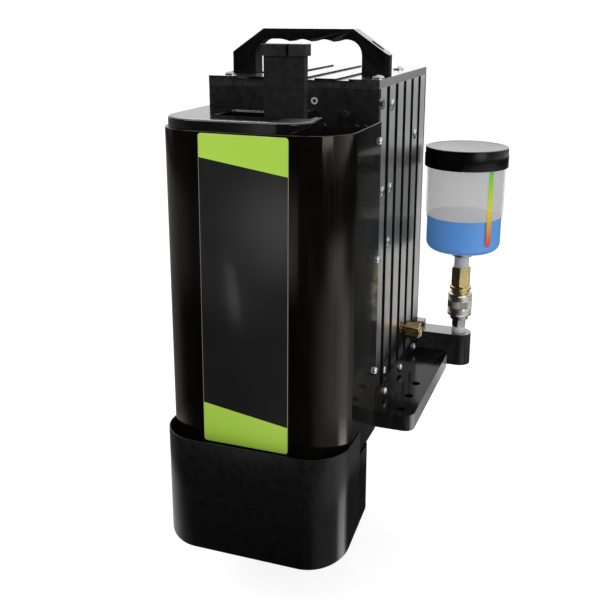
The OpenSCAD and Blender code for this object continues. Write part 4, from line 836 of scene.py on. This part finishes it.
jarPart = {
    "axis": (130.0, 146.0),
    "radius": 42.25,
    "wall": 1.8,
    "foot": 12.0,        # radius of the rounded bottom
    "base": 132.0,       # height of the bottom
    "level": 171.7,      # fluid surface
    "mouth": 245.0,
    "capLow": 227.0,
    "capRadius": 44.75,
    "capBore": 43.05,    # inside radius of the cap
    "stripeAngle": -42.0,
    "stripeWidth": 6.6,
    "stripeLow": 145.0,
    "stripeHigh": 226.0,
    "stripeProud": 0.12,
    "stripeThick": 0.1,
    "stripe": [(0.0, (0.95, 0.07, 0.05)), (0.12, (0.96, 0.18, 0.04)), (0.3, (0.95, 0.5, 0.03)),
               (0.5, (0.9, 0.85, 0.03)), (0.7, (0.55, 0.85, 0.04)), (1.0, (0.2, 0.75, 0.08))],
    "sleeveTravel": 4.0,
    "hexAcross": 19.0,   # brass hexagon
    "plugAcross": 14.0,
    "knurls": 60,
    "knurlDepth": 0.03,  # of the radius
    "milky": ((0.6, 0.6, 0.59), (0.52, 0.52, 0.53)),
    "milk": (0.05, 0.3),  # how much of the wall shows, below the fluid's level and above
    "fluid": ((0.09, 0.33, 0.84), (0.08, 0.31, 0.78)),
    # painted sheen on the fluid's top face
    "fluidTopSheen": (0.84, 0.86, 0.9),
    "glow": ((0.11, 0.36, 0.82), (0.8, 0.82, 0.86)),
    "fluidGlow": 0.25,
    "milkyInShine": (0.16, 0.16, 0.16),
    "fluidInShine": (0.04, 0.05, 0.06),
    "stripeInShine": (0.1, 0.1, 0.08),
}


jarCentre = (jarPart["axis"][0] * mm, jarPart["axis"][1] * mm, 0.0)


def cornerArc(cx, cy, r, start, end, steps=12):
    # centre + r (cos a, sin a)
    a = np.radians(np.linspace(start, end, steps + 1))
    return [(cx + r * math.cos(t), cy + r * math.sin(t)) for t in a]


def clearPlastic():
    # milky translucent polypropylene, which looks clear where the fluid wets it and milky above
    surface, tree, shader = newSurface("jarPlastic", IOR=1.48, Transmission_Weight=0.0, Roughness=0.16)
    spot = ownPlace(tree)
    tone = between(tree, cloud(tree, spot, 26.0, 3.0), 0.35, 0.7)
    milky = mixColours(tree, tone, *jarPart["milky"])
    tree.links.new(dullInShine(tree, milky, jarPart["milkyInShine"]), shader.inputs["Base Color"])
    wet = jarPart["level"] * mm
    milk = between(tree, axesOf(tree, spot)["Z"], wet - 0.5 * mm, wet + 1 * mm, *jarPart["milk"])
    tree.links.new(milk, shader.inputs["Alpha"])
    return surface


def fluidSurface():
    # some light passes through the fluid from behind: a weak glow of its own colour
    surface, tree, shader = newSurface("blueFluid", IOR=1.34, Roughness=0.05, Coat_Weight=0.3,
                                       Emission_Strength=jarPart["fluidGlow"])
    height = axesOf(tree, ownPlace(tree))["Z"]
    body = mixColours(tree, between(tree, height, jarPart["base"] * mm, jarPart["level"] * mm), *jarPart["fluid"])
    # painted sheen: the fluid's top face is painted pale and made to glow pale, as the surface looks pale through the
    # milky wall
    top = upMask(tree)
    colour = dullInShine(tree, mixColours(tree, top, body, jarPart["fluidTopSheen"]), jarPart["fluidInShine"])
    tree.links.new(colour, shader.inputs["Base Color"])
    glow = dullInShine(tree, mixColours(tree, top, *jarPart["glow"]), (0.0, 0.0, 0.0))
    tree.links.new(glow, shader.inputs["Emission Color"])
    return surface


def stripeSurface():
    # level stripe: colour along the height
    surface, tree, shader = newSurface("levelStripe", Roughness=0.3, IOR=1.5)
    height = axesOf(tree, ownPlace(tree))["Z"]
    along = between(tree, height, jarPart["stripeLow"] * mm, jarPart["stripeHigh"] * mm)
    colour = setRamp(place(tree, "ShaderNodeValToRGB", {0: along}), jarPart["stripe"])
    tree.links.new(dullInShine(tree, colour, jarPart["stripeInShine"]), shader.inputs["Base Color"])
    return surface


def makeJar():
    # the jar's wall and the fluid in it, turned about the jar's axis
    r, w, foot = jarPart["radius"], jarPart["wall"], jarPart["foot"]
    base, mouth = jarPart["base"], jarPart["mouth"]
    outside = [(0, base)] + cornerArc(r - foot, base + foot, foot, -90, 0) + [(r, mouth - 0.6), (r - 0.6, mouth)]
    inside = [(r - w + 0.4, mouth), (r - w, mouth - 0.4)] + cornerArc(r - foot, base + foot, foot - w, 0, -90) \
        + [(0, base + w)]
    turnPiece("jarShell", outside + inside, jarCentre, clearPlastic(), "reservoir", ["reservoir_jar"], 128)
    level = jarPart["level"]
    inner = r - w - 0.05
    # fluid: the jar's inside up to a level that climbs the wall by h = 0.8 exp(-(R - r) / 1.4)
    climb = [(inner - d, level + 0.8 * math.exp(-d / 1.4)) for d in (0.0, 0.4, 0.9, 1.6, 2.6, 4.0)]
    body = [(0, base + w + 0.05)] + cornerArc(r - foot, base + foot, foot - w - 0.05, -90, 0) + climb + [(0, level)]
    turnPiece("fluidBody", body, jarCentre, fluidSurface(), "reservoir", ["spray_fluid"], 128)


def makeStripe():
    # a strip bent round the jar, x = (R + t) cos a, y = (R + t) sin a, with rounded ends
    r = jarPart["radius"]
    half = jarPart["stripeWidth"] / 2
    v = np.linspace(0, 1, 41)
    height = jarPart["stripeLow"] + (jarPart["stripeHigh"] - jarPart["stripeLow"]) * v
    near = np.clip(half - (height - jarPart["stripeLow"]), 0, None)
    width = np.sqrt(np.clip(half ** 2 - near ** 2, 0.01, None)) * (1 - 0.12 * v)
    u = np.linspace(-1, 1, 9)
    angle = math.radians(jarPart["stripeAngle"]) + u[None, :] * width[:, None] / r
    out = r + jarPart["stripeProud"]
    rise = np.repeat(height[:, None], len(u), axis=1)
    points = np.stack([out * np.cos(angle), out * np.sin(angle), rise], axis=-1) * mm + np.array(jarCentre)
    strip = makePiece("levelStripe", points, gridFaces(len(v), len(u)), stripeSurface(), "reservoir")
    thicken = strip.modifiers.new("film", "SOLIDIFY")
    thicken.thickness = jarPart["stripeThick"] * mm
    thicken.offset = -1


def makeCoupler():
    # boss, taped neck, brass hexagon with its collar, and the barrel inside the sleeve
    turnPiece("jarBoss", [(0, 125.6), (10.6, 125.6), (11.3, 126.2), (11.5, 127.2), (11.5, 130.6), (11.0, 131.9),
                          (0, 131.95)], jarCentre, finish["plug"], "reservoir", (), 64)
    thread = [(0.0, 112.6)]
    for k in range(34):  # wound tape over a thread: r = 8.1 + 0.22 sin(pi k / 2) + 0.08 sin 1.7 k
        thread.append((8.1 + 0.22 * math.sin(math.pi * k / 2) + 0.08 * math.sin(k * 1.7), 112.8 + k * 0.39))
    thread.append((0.0, 126.0))
    turnPiece("tapedNeck", thread, jarCentre, finish["ptfe"], "reservoir", (), 64)
    turnPiece("brassHex", [(0, 90.9), (9.3, 90.9), (10.4, 91.9), (11.0, 93.2), (11.0, 111.2), (10.4, 112.4),
                           (9.5, 113.1), (8.4, 113.3), (0, 113.3)], jarCentre, finish["brass"], "reservoir",
              ["coupler_body"], 144, sides=jarPart["hexAcross"])
    turnPiece("barrelNose", [(0, 52.4), (9.9, 52.4), (9.9, 60.0), (0, 60.0)], jarCentre, finish["plug"],
              "reservoir", (), 64)
    # its collar starts just above the sleeve's highest place
    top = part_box("coupler_sleeve")[1][2] / mm + jarPart["sleeveTravel"] + 0.06
    turnPiece("brassCollar", [(0, 60.0), (10.0, 60.0), (10.0, top), (11.2, top + 0.15), (11.8, top + 0.6),
                              (12.0, top + 1.3), (12.0, 89.8), (11.6, 90.6), (10.6, 91.2), (0, 91.2)], jarCentre,
              finish["brass"], "reservoir", (), 96)


def makeSleeve():
    # nickel sleeve: rings, a knurled band r = R (1 + depth |sin (knurls a / 2)|), and rings again
    low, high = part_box("coupler_sleeve")
    l = (high[2] - low[2]) / mm
    profile = [(10.06, 0), (12.2, 0), (13.1, 0.5), (13.4, 1.2), (13.4, 3.6), (12.9, 4.1), (12.8, 4.6), (13.3, 5.2),
               (13.4, 5.8), (13.3, 6.4), (12.8, 6.9), (12.8, 7.2), (13.3, 7.7), (13.4, 8.2), (13.2, 8.8), (12.9, 9.3)]
    knurl = [(13.0, h) for h in np.linspace(9.6, l - 8.6, 8)]
    upper = [(12.8, l - 8.2), (13.3, l - 7.6), (13.4, l - 7.0), (13.3, l - 6.4), (12.8, l - 5.9), (12.8, l - 5.5),
             (13.3, l - 4.9), (13.4, l - 4.3), (13.3, l - 3.7), (12.9, l - 3.2), (13.0, l - 2.6), (13.3, l - 1.4),
             (12.9, l - 0.4), (12.2, l), (10.06, l)]
    full = profile + knurl + upper
    count = 240
    points = turnedPoints(full + [full[0]], (jarCentre[0], jarCentre[1], low[2]), count)
    angle = np.linspace(0, 2 * np.pi, count, endpoint=False)
    first, last = len(profile), len(profile) + len(knurl)
    ridge = 1 + jarPart["knurlDepth"] * np.abs(np.sin(jarPart["knurls"] / 2 * angle))
    centre = np.array(jarCentre[:2])
    for row in range(first, last):
        points[row, :, :2] = centre + (points[row, :, :2] - centre) * ridge[:, None]
    makePiece("sleeveShell", points, gridFaces(len(full) + 1, count, closeColumns=True), finish["nickel"],
              "release_sleeve", ["coupler_sleeve"], 30)


def makePlug():
    # hexagon with the plug's nose on it, and the white collar below
    turnPiece("plugHex", [(0, 43.0), (7.0, 43.0), (7.7, 43.7), (8.08, 44.4), (8.08, 50.6), (7.6, 51.5), (7.0, 52.0),
                          (5.6, 52.2), (5.6, 57.8), (4.2, 59.2), (3.7, 61.5), (3.7, 63.2), (4.4, 64.6), (4.4, 74.0),
                          (3.2, 76.0), (0, 76.0)], jarCentre, finish["plug"], "station", ["coupler_plug"], 144,
              sides=jarPart["plugAcross"])
    turnPiece("whiteCollar", [(0, 36.02), (7.5, 36.02), (7.75, 36.5), (7.75, 40.8), (7.4, 42.1), (6.8, 42.8),
                              (5.6, 43.05), (0, 43.05)], jarCentre, finish["ptfe"], "station", ["seal_collar"], 64)


def makeCap():
    # cup with a flat rim round its foot and a shallow step at its top
    z, r, b = jarPart["capLow"], jarPart["capRadius"], jarPart["capBore"]
    profile = [(b, z), (r - 0.3, z), (r, z + 0.3), (r, z + 12.5), (r - 0.1, z + 12.9), (r - 0.6, z + 13.5),
               (r - 0.6, z + 19.9), (r - 0.75, z + 20.4), (r - 1.1, z + 20.8), (r - 1.6, z + 21.0),
               (r - 6.5, z + 20.98), (r - 7.0, z + 20.8), (r - 7.6, z + 20.75), (0, z + 20.75)]
    inside = [(0, z + 18.8), (b, z + 18.8), (b, z)]
    turnPiece("capShell", profile + inside, jarCentre, finish["cap"], "cap", ["reservoir_cap"], 160, sharp=50)


makeJar()
makeStripe()
makeCoupler()
makeSleeve()
makePlug()
makeCap()
print("reservoir made")


inletPart = {"across": 17.0, "shank": 5.5, "length": 21.5, "bore": 5.75, "thread": 0.3, "pitch": 1.1}


def makeInlet():
    # hexagon on a flanged shank, lying along x
    low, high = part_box("air_inlet")
    centre = (high[0] - inletPart["length"] * mm, (low[1] + high[1]) / 2, (low[2] + high[2]) / 2)
    s, l, b = inletPart["shank"], inletPart["length"], inletPart["bore"]
    profile = [(0, -11.9), (6.4, -11.9), (6.4, -0.02), (7.6, 0.0), (7.6, 1.3), (7.1, 1.6), (6.45, 1.7),
               (6.45, s - 0.3), (8.2, s), (9.2, s + 0.8), (9.81, s + 1.8), (9.81, l - 1.6), (9.2, l - 0.7),
               (8.3, l - 0.05), (7.0, l), (6.6, l - 0.05)]
    bore = [(b + 0.6, l - 0.4)]
    for k in range(20):  # thread in the mouth: r goes between b and b + thread every half pitch
        bore.append((b + (inletPart["thread"] if k % 2 else 0.0), l - 0.8 - k * inletPart["pitch"] / 2))
    bore += [(b, l - 12), (0, l - 12)]
    turnPiece("inletBody", profile + bore, centre, finish["inletBrass"], "station", ["air_inlet"], 144, along="x",
              sides=inletPart["across"], sharp=30)


makeInlet()

nodeFinish = {
    "zinc": ["lid_screws", "handle_screws", "flange_screws", "shell_screws", "arm_screws", "back_screws",
             "side_screws"],
    "fitting": ["panel_fittings"],
    "steel": ["cutter_blade", "cutter_wedge", "chuck", "bin_magnets"],
    "rod": ["guide_rods", "lift_rod", "clamp_rod"],
    "inner": ["shell_rails", "foot_plate"],
    "aluminium": ["carriage", "lift_cylinder", "clamp_cylinder", "cutter_cylinder", "air_motor", "valve_manifold"],
    "plate": ["base_plate"],
    "brass": ["spray_tips", "air_silencer"],
    "bronze": ["guide_bushes"],
    "coated": ["reamer_cutter"],
    "ptfe": ["cap_liner"],
    "case": ["air_valves"],
    "hose": ["fluid_line"],
}


def dressSolids():
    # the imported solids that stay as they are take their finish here
    for kind, names in nodeFinish.items():
        for name in names:
            mesh = nodes[name].data
            mesh.materials.clear()
            mesh.materials.append(finish[kind])


dressSolids()
print("solids dressed")
